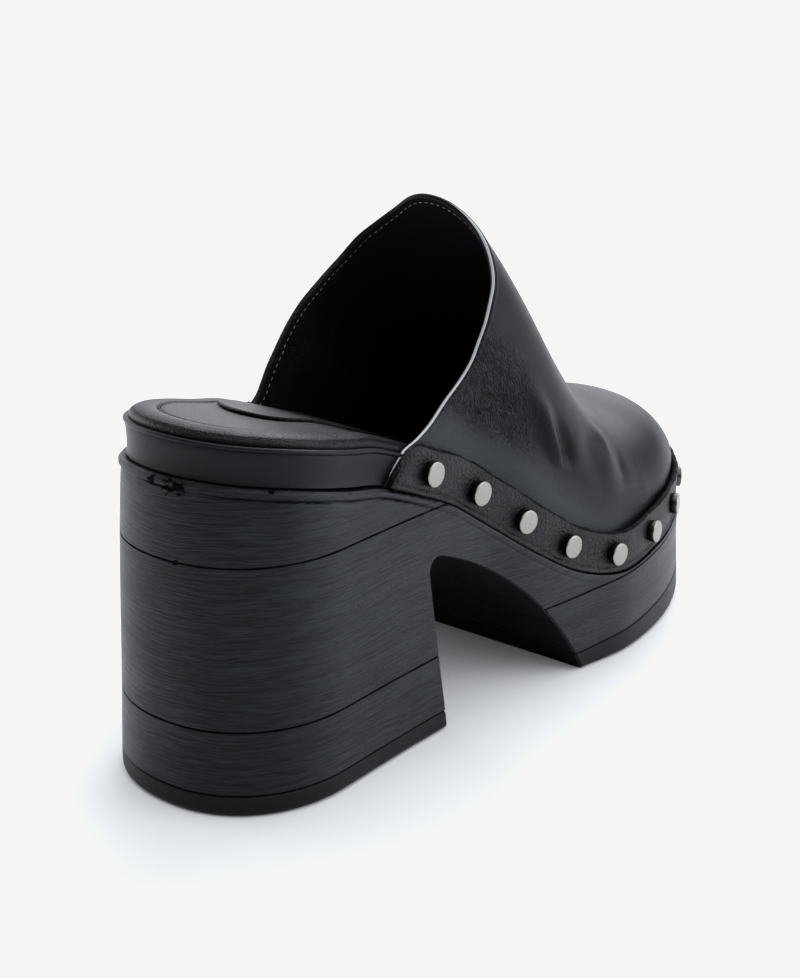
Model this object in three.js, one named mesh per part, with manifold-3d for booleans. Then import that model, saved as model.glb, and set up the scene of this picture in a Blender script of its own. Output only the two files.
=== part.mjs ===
// Closed-toe, open-back platform clog for the right foot, in millimetres.
// The shoe is drawn in its own stations: x runs from the back of the heel to the toe,
// y is positive on the medial (big toe) side, and z is the height above the floor.
// The whole group is then moved so that the origin lies under the middle of the heel.
import * as THREE from 'three';
import { mergeVertices } from 'three/addons/utils/BufferGeometryUtils.js';
import Module from 'manifold-3d';

const wasm = await Module();
wasm.setup();

// Sizes of the sole's plan
const soleLength = 243.5;
const heelWidth = 65;
const heelRound = 35;
const ballWidth = 97.7;
const toeRound = 82.4;
const toeLean = 3.2;
const toeSwing = 1.5;
const heelFullness = 2.17;
const toeFullness = 1.98;

// Heights of the sole
const heelHeight = 91.1;
const platformHeight = 27.8;
const toeLift = 6.4;
const toeSpring = 3.5;
const outsoleThickness = 5.9;
const outsoleToeGain = 6.8;
const outsoleEdge = 1.9;
const wallFlare = 1.8;
const rimHeight = 2.6;
const rimLip = 0.5;

// Arch between heel block and forefoot block
const heelBlockLength = 79.3;
const heelFrontLean = 8.1;
const archHeight = 55;
const archGap = 58.7;
const archCorner = 4.5;

// Engraved lines round the sole block
const highGrooveHeight = 69.3;
const lowGrooveHeight = 24.4;
const grooveWidth = 0.8;
const grooveDepth = 0.8;

// Covered midsole, footbed and sock
const bandHeight = 10.8;
const bandInset = 2.5;
const beadSize = 0.5;
const insoleThickness = 3.1;
const insoleInset = 4.1;
const edgeRoll = 4.6;
const channelDepth = 0.5;
const sockThickness = 0.8;
const sockBevel = 0.5;
const archRise = 9;
const flatInset = insoleInset + 1.9 * edgeRoll;

// Upper and rand
const instepHeight = 102.2;
const toeBoxHeight = 38.5;
const collarHeight = 145.7;
const upperInset = 2;
const upperWall = 1.8;
const ridgeSwing = 4;
const crownFullness = 2.68;
const instepFullness = 2;
const toeBoxFullness = 2.17;
const toeCapLength = 58;
const toeOverhang = 2.2;
const toeTuck = 8.5;
const randWidth = 13.3;
const randThickness = 2;
const skirtDepth = 9;

// Studs
const studDiameter = 7.2;
const studHeight = 1.8;
const studPitch = 24.2;
const studEndDistance = 12;

// Running gap between pieces that meet
const gap = 0.3;

// Fineness of the surfaces
const heelSteps = 9;
const waistSteps = 10;
const toeSteps = 11;
const formSteps = 16;
const formToeSteps = 14;
const sectionSteps = 11;
const studSides = 12;
const lineSteps = 300;
const tangentReach = 12;
const farOut = 40;

const heelCentre = heelBlockLength / 2;
const toeCentre = soleLength - toeRound;
const springStart = toeCentre + toeRound / 3;
const outsoleRiseStart = toeCentre - 0.28 * toeRound;
const leanTop = 0.8 * platformHeight;
const instepEnd = 0.45 * soleLength;
const toeBoxStart = 0.82 * soleLength;
const tuckLow = 0.55 * randWidth;
const tuckHigh = 1.4 * randWidth;

// Height of the sole block's top: drop is the share of the way up from the platform to the
// heel, lift the share of the toe's lift, and groove the lower line's height against its
// height at the heel.
const soleRows = [
  { along: 0.0, drop: 1.0, lift: 0, groove: 1.0 },
  { along: 0.082, drop: 0.948, lift: 0, groove: 1.0 },
  { along: 0.165, drop: 0.874, lift: 0, groove: 1.0 },
  { along: 0.2135, drop: 0.832, lift: 0, groove: 1.0 },
  { along: 0.3, drop: 0.694, lift: 0, groove: 1.0 },
  { along: 0.34, drop: 0.617, lift: 0, groove: 1.01 },
  { along: 0.411, drop: 0.434, lift: 0, groove: 1.03 },
  { along: 0.478, drop: 0.256, lift: 0, groove: 1.04 },
  { along: 0.556, drop: 0.085, lift: 0, groove: 1.05 },
  { along: 0.635, drop: 0, lift: 0, groove: 1.086 },
  { along: 0.73, drop: 0, lift: 0.172, groove: 1.14 },
  { along: 0.837, drop: 0, lift: 0.5, groove: 1.22 },
  { along: 1.0, drop: 0, lift: 1.0, groove: 1.35 },
];

// Half widths between heel and ball, as shares of the growth from one to the other
const waistRows = [
  { along: 0, lateral: 0, medial: 0 },
  { along: 0.28, lateral: 0.034, medial: 0.04 },
  { along: 0.476, lateral: 0.155, medial: 0.185 },
  { along: 0.65, lateral: 0.49, medial: 0.455 },
  { along: 0.825, lateral: 0.768, medial: 0.756 },
  { along: 1, lateral: 1, medial: 1 },
];

// Outward flare of the side wall, as a share of wallFlare, against the share of heelHeight
const flareRows = [
  { height: 0, out: 1.03 },
  { height: 0.065, out: 1 },
  { height: 0.265, out: 0.66 },
  { height: 0.757, out: 0 },
  { height: 1, out: -0.67 },
];

// Ridge of the upper above the sole: instep is the share of the rise from toe box to instep,
// and toe the share of the toe box's own height.
const ridgeRows = [
  { along: 0.16, instep: 0.78, toe: 1 },
  { along: 0.388, instep: 0.93, toe: 1 },
  { along: 0.437, instep: 1.028, toe: 1 },
  { along: 0.482, instep: 1.0, toe: 1 },
  { along: 0.531, instep: 0.876, toe: 1 },
  { along: 0.58, instep: 0.661, toe: 1 },
  { along: 0.629, instep: 0.432, toe: 1 },
  { along: 0.678, instep: 0.217, toe: 1 },
  { along: 0.727, instep: 0.074, toe: 1 },
  { along: 0.784, instep: 0.016, toe: 1 },
  { along: 0.849, instep: 0, toe: 1 },
  { along: 0.922, instep: 0, toe: 0.909 },
  { along: 1, instep: 0, toe: 0.67 },
];

// Collar seen from the side: how far along the sole the edge lies at each height, which is a
// share of collarHeight, on the outer and the inner side of the foot.
const collarRows = [
  { height: 0.45, lateral: 0.156, medial: 0.184 },
  { height: 0.553, lateral: 0.223, medial: 0.25 },
  { height: 0.605, lateral: 0.257, medial: 0.287 },
  { height: 0.616, lateral: 0.279, medial: 0.295 },
  { height: 0.637, lateral: 0.305, medial: 0.303 },
  { height: 0.669, lateral: 0.333, medial: 0.314 },
  { height: 0.699, lateral: 0.364, medial: 0.327 },
  { height: 0.729, lateral: 0.389, medial: 0.34 },
  { height: 0.759, lateral: 0.405, medial: 0.355 },
  { height: 0.788, lateral: 0.42, medial: 0.373 },
  { height: 0.825, lateral: 0.436, medial: 0.403 },
  { height: 0.861, lateral: 0.453, medial: 0.437 },
  { height: 0.903, lateral: 0.466, medial: 0.46 },
  { height: 0.933, lateral: 0.473, medial: 0.477 },
  { height: 0.964, lateral: 0.478, medial: 0.485 },
  { height: 1.0, lateral: 0.48, medial: 0.482 },
  { height: 1.3, lateral: 0.48, medial: 0.48 },
];

// Rise of the footbed under the arch of the foot, on the inner side, as a share of archRise
const archRiseRows = [
  { along: 0.22, rise: 0 },
  { along: 0.29, rise: 0.12 },
  { along: 0.33, rise: 0.3 },
  { along: 0.37, rise: 0.53 },
  { along: 0.41, rise: 0.88 },
  { along: 0.46, rise: 1 },
  { along: 0.53, rise: 0.6 },
  { along: 0.62, rise: 0 },
];

// Rim round the block's top: below is a share of rimHeight, out a share of rimLip
const rimRows = [
  { below: 1, out: 0 },
  { below: 0.77, out: 1 },
  { below: 0.23, out: 1 },
  { below: 0, out: -0.5 },
];

// Rolled edge of the footbed: up is a share of insoleThickness, inward a share of edgeRoll
const rollRows = [
  { up: 0.35, inward: -0.04 },
  { up: 0.7, inward: 0.2 },
  { up: 0.93, inward: 0.6 },
  { up: 1, inward: 1 },
];

// Half section of a stud: out is a share of its radius, up a share of its height
const studRows = [
  { out: 0, up: 0 },
  { out: 0.86, up: 0 },
  { out: 1, up: 0.22 },
  { out: 1, up: 0.72 },
  { out: 0.92, up: 1 },
  { out: 0, up: 1 },
];

// Rear edge of the sock on the footbed: across is a share of half the heel's width
const sockEdgeRows = [
  { across: 1.1, along: 0.235 },
  { across: 0.75, along: 0.195 },
  { across: 0.38, along: 0.158 },
  { across: 0.08, along: 0.15 },
  { across: -0.16, along: 0.172 },
  { across: -0.4, along: 0.272 },
  { across: -0.64, along: 0.372 },
  { across: -1.2, along: 0.43 },
];

const materials = {
  rubber: new THREE.MeshStandardMaterial({ color: 0x16171a, roughness: 0.7, metalness: 0 }),
  block: new THREE.MeshStandardMaterial({ color: 0x1d1f23, roughness: 0.5, metalness: 0 }),
  leather: new THREE.MeshStandardMaterial({ color: 0x131417, roughness: 0.38, metalness: 0 }),
  lining: new THREE.MeshStandardMaterial({ color: 0x18191b, roughness: 0.55, metalness: 0 }),
  nickel: new THREE.MeshStandardMaterial({ color: 0xc9c4bd, roughness: 0.3, metalness: 1 }),
};

// Reads a column of a table at a place on its key column, on a smooth curve through the rows.
// With flat ends the curve starts and stops level.
function readRow(rows, key, column, place, flatEnds = false) {
  const last = rows.length - 1;
  const at = THREE.MathUtils.clamp(place, rows[0][key], rows[last][key]);
  let i = 0;
  while (i < last - 1 && at > rows[i + 1][key]) {
    i += 1;
  }
  const slope = (a, b) => (rows[b][column] - rows[a][column]) / (rows[b][key] - rows[a][key]);
  const tangent = (k) => {
    if (flatEnds && (k === 0 || k === last)) {
      return 0;
    }
    return slope(Math.max(k - 1, 0), Math.min(k + 1, last));
  };
  const span = rows[i + 1][key] - rows[i][key];
  const t = (at - rows[i][key]) / span;
  const start = rows[i][column] * (2 * t ** 3 - 3 * t ** 2 + 1);
  const end = rows[i + 1][column] * (3 * t ** 2 - 2 * t ** 3);
  const leave = span * tangent(i) * (t ** 3 - 2 * t ** 2 + t);
  const arrive = span * tangent(i + 1) * (t ** 3 - t ** 2);
  return start + end + leave + arrive;
}

// Heights along the shoe
function blockTop(x) {
  const along = x / soleLength;
  const drop = readRow(soleRows, 'along', 'drop', along);
  const lift = readRow(soleRows, 'along', 'lift', along);
  return platformHeight + (heelHeight - platformHeight) * drop + toeLift * lift;
}

function soleBottom(x) {
  const share = THREE.MathUtils.clamp((x - springStart) / (soleLength - springStart), 0, 1);
  return toeSpring * share ** 2;
}

function outsoleTop(x) {
  const run = soleLength - outsoleRiseStart;
  const share = THREE.MathUtils.clamp((x - outsoleRiseStart) / run, 0, 1);
  return outsoleThickness + outsoleToeGain * share;
}

function lowGroove(x) {
  return lowGrooveHeight * readRow(soleRows, 'along', 'groove', x / soleLength);
}

function bandTop(x) {
  return blockTop(x) + bandHeight;
}

function randTop(x) {
  const step = 1;
  const slope = (blockTop(x + step) - blockTop(x - step)) / (2 * step);
  return blockTop(x) + gap + randWidth * Math.hypot(1, slope);
}

function wallOut(z) {
  return wallFlare * readRow(flareRows, 'height', 'out', z / heelHeight);
}

// Plan outline. A station is a place along one side, from the heel's back to the toe's tip.
function planStations() {
  const list = [];
  for (let i = 0; i < heelSteps; i += 1) {
    list.push({ zone: 'heel', angle: (i / heelSteps) * Math.PI / 2 });
  }
  for (let i = 0; i < waistSteps; i += 1) {
    list.push({ zone: 'waist', share: i / waistSteps });
  }
  for (let i = 0; i <= toeSteps; i += 1) {
    list.push({ zone: 'toe', angle: (1 - i / toeSteps) * Math.PI / 2 });
  }
  return list;
}

function round(angle, fullness) {
  return {
    along: Math.max(Math.cos(angle), 0) ** (2 / fullness),
    across: Math.max(Math.sin(angle), 0) ** (2 / fullness),
  };
}

// side is -1 on the outer (lateral) side and 1 on the inner (medial) side
function halfBall(side) {
  return ballWidth / 2 + side * toeSwing;
}

// The toe's wall leans back up to the height of the platform.
function toeReach(z) {
  return toeRound - toeLean * THREE.MathUtils.clamp(z / leanTop, 0, 1);
}

function planPoint(station, side, out, z) {
  if (station.zone === 'heel') {
    const { along, across } = round(station.angle, heelFullness);
    return [heelRound - (heelRound + out) * along, side * (heelWidth / 2 + out) * across];
  }
  if (station.zone === 'toe') {
    const { along, across } = round(station.angle, toeFullness);
    const y = toeSwing + side * (ballWidth / 2 + out) * across;
    return [toeCentre + (toeReach(z) + out) * along, y];
  }
  const column = side < 0 ? 'lateral' : 'medial';
  const share = readRow(waistRows, 'along', column, station.share, true);
  const half = heelWidth / 2 + (halfBall(side) - heelWidth / 2) * share;
  return [THREE.MathUtils.lerp(heelRound, toeCentre, station.share), side * (half + out)];
}

// Half width of the upper's form at a length x, moved out by a distance
function halfWidth(x, side, out) {
  if (x < heelRound) {
    const share = Math.min((heelRound - x) / (heelRound + out), 1);
    return (heelWidth / 2 + out) * (1 - share ** heelFullness) ** (1 / heelFullness);
  }
  if (x > toeCentre) {
    const share = Math.min((x - toeCentre) / (toeRound + toeOverhang + out), 1);
    const across = (1 - share ** toeFullness) ** (1 / toeFullness);
    return (ballWidth / 2 + out) * across + side * toeSwing;
  }
  const share = (x - heelRound) / (toeCentre - heelRound);
  const column = side < 0 ? 'lateral' : 'medial';
  const grown = readRow(waistRows, 'along', column, share, true);
  return heelWidth / 2 + (halfBall(side) - heelWidth / 2) * grown + out;
}

// Closed surface through rings with equal counts. mate gives the point across the ring,
// so that both ends are closed by strips, with the same diagonals below and above.
function loft(rings, mate) {
  const count = rings[0].length;
  const index = [];
  const quad = (a, b, c, d) => index.push(a, b, c, a, c, d);
  for (let r = 0; r < rings.length - 1; r += 1) {
    for (let i = 0; i < count; i += 1) {
      const next = (i + 1) % count;
      quad(r * count + i, r * count + next, (r + 1) * count + next, (r + 1) * count + i);
    }
  }
  const top = (rings.length - 1) * count;
  for (let i = 0; i < Math.floor(count / 2); i += 1) {
    quad(top + i, top + i + 1, top + mate(i + 1, count), top + mate(i, count));
    quad(i, mate(i, count), mate(i + 1, count), i + 1);
  }
  const geometry = new THREE.BufferGeometry();
  geometry.setAttribute('position', new THREE.Float32BufferAttribute(rings.flat(2), 3));
  geometry.setIndex(index);
  return solid(geometry);
}

// Turns a closed mesh into a solid that can be joined and cut
function solid(geometry) {
  geometry.deleteAttribute('normal');
  geometry.deleteAttribute('uv');
  const merged = mergeVertices(geometry, 1e-4);
  const raw = merged.index.array;
  const kept = [];
  for (let i = 0; i < raw.length; i += 3) {
    const [a, b, c] = [raw[i], raw[i + 1], raw[i + 2]];
    if (a !== b && b !== c && c !== a) {
      kept.push(a, b, c);
    }
  }
  return new wasm.Manifold(new wasm.Mesh({
    numProp: 3,
    vertProperties: new Float32Array(merged.attributes.position.array),
    triVerts: new Uint32Array(kept),
  }));
}

function geometryOf(body) {
  const mesh = body.getMesh();
  const geometry = new THREE.BufferGeometry();
  geometry.setAttribute('position', new THREE.Float32BufferAttribute(mesh.vertProperties, 3));
  geometry.setIndex(new THREE.Uint32BufferAttribute(mesh.triVerts, 1));
  geometry.computeVertexNormals();
  return geometry;
}

// A layer of the sole. Each level gives its height over the plan and how far the outline is
// moved out at that height.
function soleLayer(levels) {
  const stations = planStations();
  const rings = levels.map(({ height, out }) => {
    const place = (station, side) => {
      const guess = height(planPoint(station, side, 0, height(toeCentre, 0))[0], 0);
      const [x, y] = planPoint(station, side, out(guess), guess);
      return [x, y, height(x, y)];
    };
    const lateral = stations.map((station) => place(station, -1));
    const medial = stations.slice(1, -1).reverse().map((station) => place(station, 1));
    return [...lateral, ...medial];
  });
  return loft(rings, (i, count) => (count - i) % count);
}

// Everything between two heights, wider than the shoe
function between(low, high) {
  return soleLayer([
    { height: low, out: () => farOut },
    { height: high, out: () => farOut },
  ]);
}

// Foremost point of the upper's form
function formTip(out) {
  return soleLength + toeOverhang - upperInset + out;
}

// How far the toe box is tucked back at a height above its foot
function tuck(x, rise) {
  const forward = THREE.MathUtils.clamp((x - toeCentre) / toeRound, 0, 1);
  const up = THREE.MathUtils.smoothstep(rise, tuckLow, tuckHigh);
  return toeTuck * forward ** 2 * (1 - up);
}

// Ridge height above the block's top and the skin's half widths, for the form of the upper
// moved out by a distance
function formSection(x, out) {
  const tip = formTip(out);
  const ridge = (place) => {
    const along = place / soleLength;
    const instep = readRow(ridgeRows, 'along', 'instep', along);
    const toe = readRow(ridgeRows, 'along', 'toe', along);
    return toeBoxHeight * toe + (instepHeight - toeBoxHeight) * instep;
  };
  const step = 1;
  const high = blockTop(x + step) + ridge(x + step);
  const low = blockTop(x - step) + ridge(x - step);
  const steepness = Math.hypot(1, (high - low) / (2 * step));
  const cap = THREE.MathUtils.clamp((x - tip + toeCapLength) / toeCapLength, 0, 1);
  const height = (ridge(x) + out * steepness) * Math.sqrt(1 - cap ** 3);
  const forward = THREE.MathUtils.clamp((x - instepEnd) / (toeBoxStart - instepEnd), 0, 1);
  return {
    foot: blockTop(x),
    height: Math.max(height, 0),
    lateral: Math.max(halfWidth(x, -1, out - upperInset), 0),
    medial: Math.max(halfWidth(x, 1, out - upperInset), 0),
    centre: THREE.MathUtils.lerp(ridgeSwing, toeSwing, forward),
    fullness: THREE.MathUtils.lerp(instepFullness, toeBoxFullness, forward),
  };
}

// The upper's form, moved out by a distance, as a closed solid with a skirt below the sole's top
function upperForm(out) {
  const rear = ridgeRows[0].along * soleLength;
  const tip = formTip(out);
  const lengths = [];
  for (let i = 0; i < formSteps; i += 1) {
    lengths.push(THREE.MathUtils.lerp(rear, toeCentre, i / formSteps));
  }
  for (let i = 0; i <= formToeSteps; i += 1) {
    const angle = (i / formToeSteps) * Math.PI / 2;
    lengths.push(toeCentre + (tip - toeCentre) * Math.sin(angle));
  }
  const rings = lengths.map((x) => {
    const section = formSection(x, out);
    const atTip = x > tip - 1e-6;
    const centre = section.centre;
    const reach = (side) => (atTip ? 0 : halfWidthAbout(section, side));
    const footX = x - tuck(x, 0);
    const ring = [[footX, centre + reach(1), section.foot - skirtDepth]];
    for (let k = 0; k <= 2 * sectionSteps; k += 1) {
      const angle = (k / sectionSteps) * Math.PI / 2;
      const side = k <= sectionSteps ? 1 : -1;
      const across = Math.abs(Math.cos(angle)) ** (2 / section.fullness);
      const up = Math.max(Math.sin(angle), 0) ** (2 / crownFullness);
      const y = k === sectionSteps ? centre : centre + side * reach(side) * across;
      const rise = atTip ? 0 : section.height * up;
      ring.push([x - tuck(x, rise), y, section.foot + rise]);
    }
    ring.push([footX, centre - reach(-1), section.foot - skirtDepth]);
    return ring;
  });
  return loft(rings, (i, count) => count - 1 - i);
}

function halfWidthAbout(section, side) {
  return side > 0 ? section.medial - section.centre : section.lateral + section.centre;
}

// Everything behind the collar's edge, moved back by a distance
function behindCollar(back) {
  const rear = -farOut;
  const ringAt = (y, blend) => {
    const edge = collarRows.map((row) => {
      const along = THREE.MathUtils.lerp(row.lateral, row.medial, blend);
      return [along * soleLength - back, y, row.height * collarHeight];
    });
    const behind = collarRows.map((row) => [rear, y, row.height * collarHeight]).reverse();
    return [...edge, ...behind];
  };
  const half = heelWidth / 2;
  const rings = [
    ringAt(half + farOut, 1),
    ringAt(half, 1),
    ringAt(-half, 0),
    ringAt(-half - farOut, 0),
  ];
  return loft(rings, (i, count) => count - 1 - i);
}

function archCutter() {
  const below = -farOut;
  const topX = heelBlockLength - heelFrontLean;
  const start = heelBlockLength + archGap;
  const shape = new THREE.Shape();
  shape.moveTo(heelBlockLength, below);
  shape.lineTo(heelBlockLength, 0);
  shape.lineTo(topX, archHeight - archCorner);
  shape.quadraticCurveTo(topX, archHeight, topX + archCorner, archHeight - 0.1 * archCorner);
  const crownX = topX + 0.64 * (start - topX);
  const crownHeight = 0.75 * archHeight;
  shape.quadraticCurveTo(crownX, crownHeight, start, 0);
  shape.lineTo(start, below);
  const depth = 2 * ballWidth;
  const geometry = new THREE.ExtrudeGeometry(shape, { depth, bevelEnabled: false, curveSegments: 12 });
  geometry.rotateX(Math.PI / 2);
  geometry.translate(0, depth / 2, 0);
  return solid(geometry);
}

function slab(fromX, toX) {
  const geometry = new THREE.BoxGeometry(toX - fromX, 4 * ballWidth, 4 * collarHeight);
  geometry.translate((fromX + toX) / 2, 0, 0);
  return solid(geometry);
}

function buildOutsoles() {
  const knee = 0.3 * outsoleEdge;
  const whole = soleLayer([
    { height: soleBottom, out: (z) => wallOut(z) - outsoleEdge },
    { height: (x) => soleBottom(x) + knee, out: (z) => wallOut(z) - knee },
    { height: (x) => soleBottom(x) + outsoleEdge, out: wallOut },
    { height: outsoleTop, out: wallOut },
  ]).subtract(archCutter());
  const middle = heelBlockLength + archGap / 2;
  return {
    heel: whole.intersect(slab(-farOut, middle)),
    forefoot: whole.intersect(slab(middle, soleLength + farOut)),
  };
}

// A thin ring that engraves a line round the wall at a height
function grooveCutter(height) {
  const half = grooveWidth / 2;
  const inner = soleLayer([
    { height: (x) => height(x) - grooveWidth, out: (z) => wallOut(z) - grooveDepth },
    { height: (x) => height(x) + grooveWidth, out: (z) => wallOut(z) - grooveDepth },
  ]);
  return between((x) => height(x) - half, (x) => height(x) + half).subtract(inner);
}

function buildBlock() {
  const base = (x) => outsoleTop(x) + gap;
  const part = (share) => (x) => THREE.MathUtils.lerp(base(x), blockTop(x), share);
  const wall = [0, 0.25, 0.5, 0.75].map((share) => ({ height: part(share), out: wallOut }));
  const rim = rimRows.map((row) => ({
    height: (x) => blockTop(x) - row.below * rimHeight,
    out: (z) => wallOut(z) + row.out * rimLip,
  }));
  return soleLayer([...wall, ...rim])
    .subtract(archCutter())
    .subtract(grooveCutter(() => highGrooveHeight))
    .subtract(grooveCutter(lowGroove));
}

// What lies inside the shoe: the full layer behind the collar, and the upper's inside ahead of it
function insideShoe(layer) {
  const rear = layer.intersect(behindCollar(gap));
  const front = layer.intersect(upperForm(-upperWall - gap));
  return rear.add(front);
}

function buildBand() {
  const above = (rise) => (x) => blockTop(x) + rise;
  const layer = soleLayer([
    { height: above(gap), out: () => -bandInset },
    { height: above(bandHeight - 4 * beadSize), out: () => -bandInset },
    { height: above(bandHeight - 3 * beadSize), out: () => beadSize - bandInset },
    { height: above(bandHeight - beadSize), out: () => beadSize - bandInset },
    { height: above(bandHeight), out: () => -bandInset },
  ]);
  return insideShoe(layer);
}

// Height of the footbed's upper side over the band. It tilts up towards the arch of the foot.
function footbed(x, y) {
  const share = readRow(archRiseRows, 'along', 'rise', x / soleLength, true);
  const across = 0.5 + y / ballWidth;
  return bandTop(x) + insoleThickness + archRise * share * across;
}

function buildInsole() {
  const roll = rollRows.map((row) => ({
    height: (x, y) => THREE.MathUtils.lerp(bandTop(x), footbed(x, y), row.up),
    out: () => -insoleInset - row.inward * edgeRoll,
  }));
  const layer = soleLayer([
    { height: (x) => bandTop(x) + gap, out: () => -insoleInset },
    ...roll,
    { height: (x, y) => footbed(x, y) - channelDepth, out: () => -insoleInset - 1.45 * edgeRoll },
    { height: (x, y) => footbed(x, y) - channelDepth / 2, out: () => -flatInset },
  ]);
  return insideShoe(layer);
}

function buildSock() {
  const above = (rise) => (x, y) => footbed(x, y) + gap + rise;
  const layer = soleLayer([
    { height: above(0), out: () => -flatInset },
    { height: above(sockThickness - sockBevel), out: () => -flatInset },
    { height: above(sockThickness), out: () => -flatInset - sockBevel },
  ]);
  const half = heelWidth / 2;
  const edge = sockEdgeRows.map((row) => new THREE.Vector2(row.along * soleLength, row.across * half));
  const shape = new THREE.Shape();
  shape.moveTo(soleLength, half * sockEdgeRows[0].across);
  shape.lineTo(edge[0].x, edge[0].y);
  shape.splineThru(edge.slice(1));
  shape.lineTo(soleLength + farOut, -ballWidth);
  shape.lineTo(soleLength + farOut, ballWidth);
  shape.lineTo(0.5 * soleLength, ballWidth);
  const depth = 2 * collarHeight;
  const ahead = new THREE.ExtrudeGeometry(shape, { depth, bevelEnabled: false, curveSegments: 24 });
  return insideShoe(layer.intersect(solid(ahead)));
}

function buildUpper() {
  const wall = upperForm(0).subtract(upperForm(-upperWall));
  const above = between((x) => blockTop(x) + gap, () => 2 * collarHeight);
  return wall.intersect(above).subtract(behindCollar(0));
}

function buildRand() {
  const strip = upperForm(gap + randThickness).subtract(upperForm(gap));
  const zone = between((x) => blockTop(x) + gap, randTop);
  return strip.intersect(zone).subtract(behindCollar(0));
}

// Distance from a point outside the rand, along a direction, to its outer face
function reachOf(rand, from, direction) {
  const ray = new THREE.Raycaster(from, direction, 0, farOut + randWidth);
  const [hit] = ray.intersectObject(rand);
  return hit ? hit.distance : Infinity;
}

// The place on the rand's outer face at a station, a share of the way up the rand
function randFace(rand, { station, side }, rise) {
  const [x, y] = planPoint(station, side, 0, platformHeight);
  const [outX, outY] = planPoint(station, side, 1, platformHeight);
  const outward = new THREE.Vector3(outX - x, outY - y, 0).normalize();
  const height = THREE.MathUtils.lerp(blockTop(x), randTop(x), rise);
  const from = new THREE.Vector3(x, y, height).addScaledVector(outward, farOut);
  const reach = reachOf(rand, from, outward.clone().negate());
  return from.addScaledVector(outward, -reach);
}

// Middle line of the rand from its lateral end round the toe to its medial end
function randLine(rand) {
  const fine = [];
  for (let i = 0; i <= lineSteps; i += 1) {
    fine.push({ zone: 'waist', share: i / lineSteps });
  }
  for (let i = 1; i <= lineSteps; i += 1) {
    fine.push({ zone: 'toe', angle: (1 - i / lineSteps) * Math.PI / 2 });
  }
  const walk = (side) => fine.map((station) => ({ station, side }));
  return [...walk(-1), ...walk(1).reverse()]
    .map((stop) => ({ ...stop, place: randFace(rand, stop, 0.5) }))
    .filter(({ place }) => Number.isFinite(place.x + place.y));
}

// How far a flat stud has to stand off a place on the rand to clear the curved face under it
function standOff(rand, place, outward) {
  const turn = new THREE.Quaternion().setFromUnitVectors(new THREE.Vector3(0, 1, 0), outward);
  const inward = outward.clone().negate();
  let most = 0;
  for (let i = 0; i < studSides; i += 1) {
    const angle = (i / studSides) * 2 * Math.PI;
    const rim = new THREE.Vector3(Math.cos(angle), 0, Math.sin(angle));
    rim.multiplyScalar(studDiameter / 2).applyQuaternion(turn);
    const from = place.clone().add(rim).addScaledVector(outward, farOut);
    most = Math.max(most, farOut - reachOf(rand, from, inward));
  }
  return most + gap;
}

function studProfile() {
  const radius = studDiameter / 2;
  return studRows.map((row) => new THREE.Vector2(row.out * radius, row.up * studHeight));
}

function buildStuds(rand) {
  const line = randLine(rand);
  const lengths = [0];
  for (let i = 1; i < line.length; i += 1) {
    lengths.push(lengths[i - 1] + line[i].place.distanceTo(line[i - 1].place));
  }
  const whole = lengths[lengths.length - 1];
  const count = Math.round((whole - 2 * studEndDistance) / studPitch) + 1;
  const pitch = (whole - 2 * studEndDistance) / (count - 1);
  const studs = [];
  for (let n = 0; n < count; n += 1) {
    const wanted = studEndDistance + n * pitch;
    const i = lengths.findIndex((length) => length >= wanted);
    const stop = line[i];
    const ahead = line[Math.min(i + tangentReach, line.length - 1)].place;
    const before = line[Math.max(i - tangentReach, 0)].place;
    const along = ahead.clone().sub(before);
    const up = randFace(rand, stop, 0.75).sub(randFace(rand, stop, 0.25));
    const outward = along.cross(up).normalize();
    const geometry = new THREE.LatheGeometry(studProfile(), studSides);
    const stud = new THREE.Mesh(geometryOf(solid(geometry)), materials.nickel);
    stud.name = `stud_${String(n + 1).padStart(2, '0')}`;
    stud.quaternion.setFromUnitVectors(new THREE.Vector3(0, 1, 0), outward);
    stud.position.copy(stop.place).addScaledVector(outward, standOff(rand, stop.place, outward));
    studs.push(stud);
  }
  return studs;
}

function piece(name, body, material) {
  const mesh = new THREE.Mesh(geometryOf(body), material);
  mesh.name = name;
  return mesh;
}

const outsoles = buildOutsoles();
const rand = piece('rand', buildRand(), materials.leather);
const shoe = new THREE.Group();
shoe.add(
  piece('outsole_heel', outsoles.heel, materials.rubber),
  piece('outsole_forefoot', outsoles.forefoot, materials.rubber),
  piece('sole_block', buildBlock(), materials.block),
  piece('midsole_band', buildBand(), materials.leather),
  piece('insole', buildInsole(), materials.lining),
  piece('insole_sock', buildSock(), materials.lining),
  piece('upper', buildUpper(), materials.leather),
  rand,
  ...buildStuds(rand),
);
shoe.position.x = -heelCentre;

const group = new THREE.Group();
group.add(shoe);

export default group;
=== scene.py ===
"""Looks of a closed-toe, open-back platform clog with a block heel and a studded rand.

Every surface is worked out in millimetres, in the shoe's own stations: x runs from the back of
the heel to the toe, y is positive on the inner side of the foot and z is the height above the
floor. Meshes are then moved so that the origin lies under the middle of the heel.
"""

from __future__ import annotations

import logging
from dataclasses import dataclass
from enum import Enum
from typing import Callable

import bmesh
import bpy
import numpy as np
from mathutils import Matrix, Vector


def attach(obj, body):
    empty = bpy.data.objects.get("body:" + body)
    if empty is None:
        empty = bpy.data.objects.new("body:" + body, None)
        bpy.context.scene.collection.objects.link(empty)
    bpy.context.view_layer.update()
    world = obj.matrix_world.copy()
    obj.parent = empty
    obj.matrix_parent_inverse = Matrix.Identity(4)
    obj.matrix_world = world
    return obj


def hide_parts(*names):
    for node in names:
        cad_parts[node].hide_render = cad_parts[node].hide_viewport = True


Array = np.ndarray
Height = Callable[[Array, Array], Array]
Out = Callable[[Array, Array], Array]
Colour = tuple[float, float, float]

MM = 0.001
LOG = logging.getLogger("clog")


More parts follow.
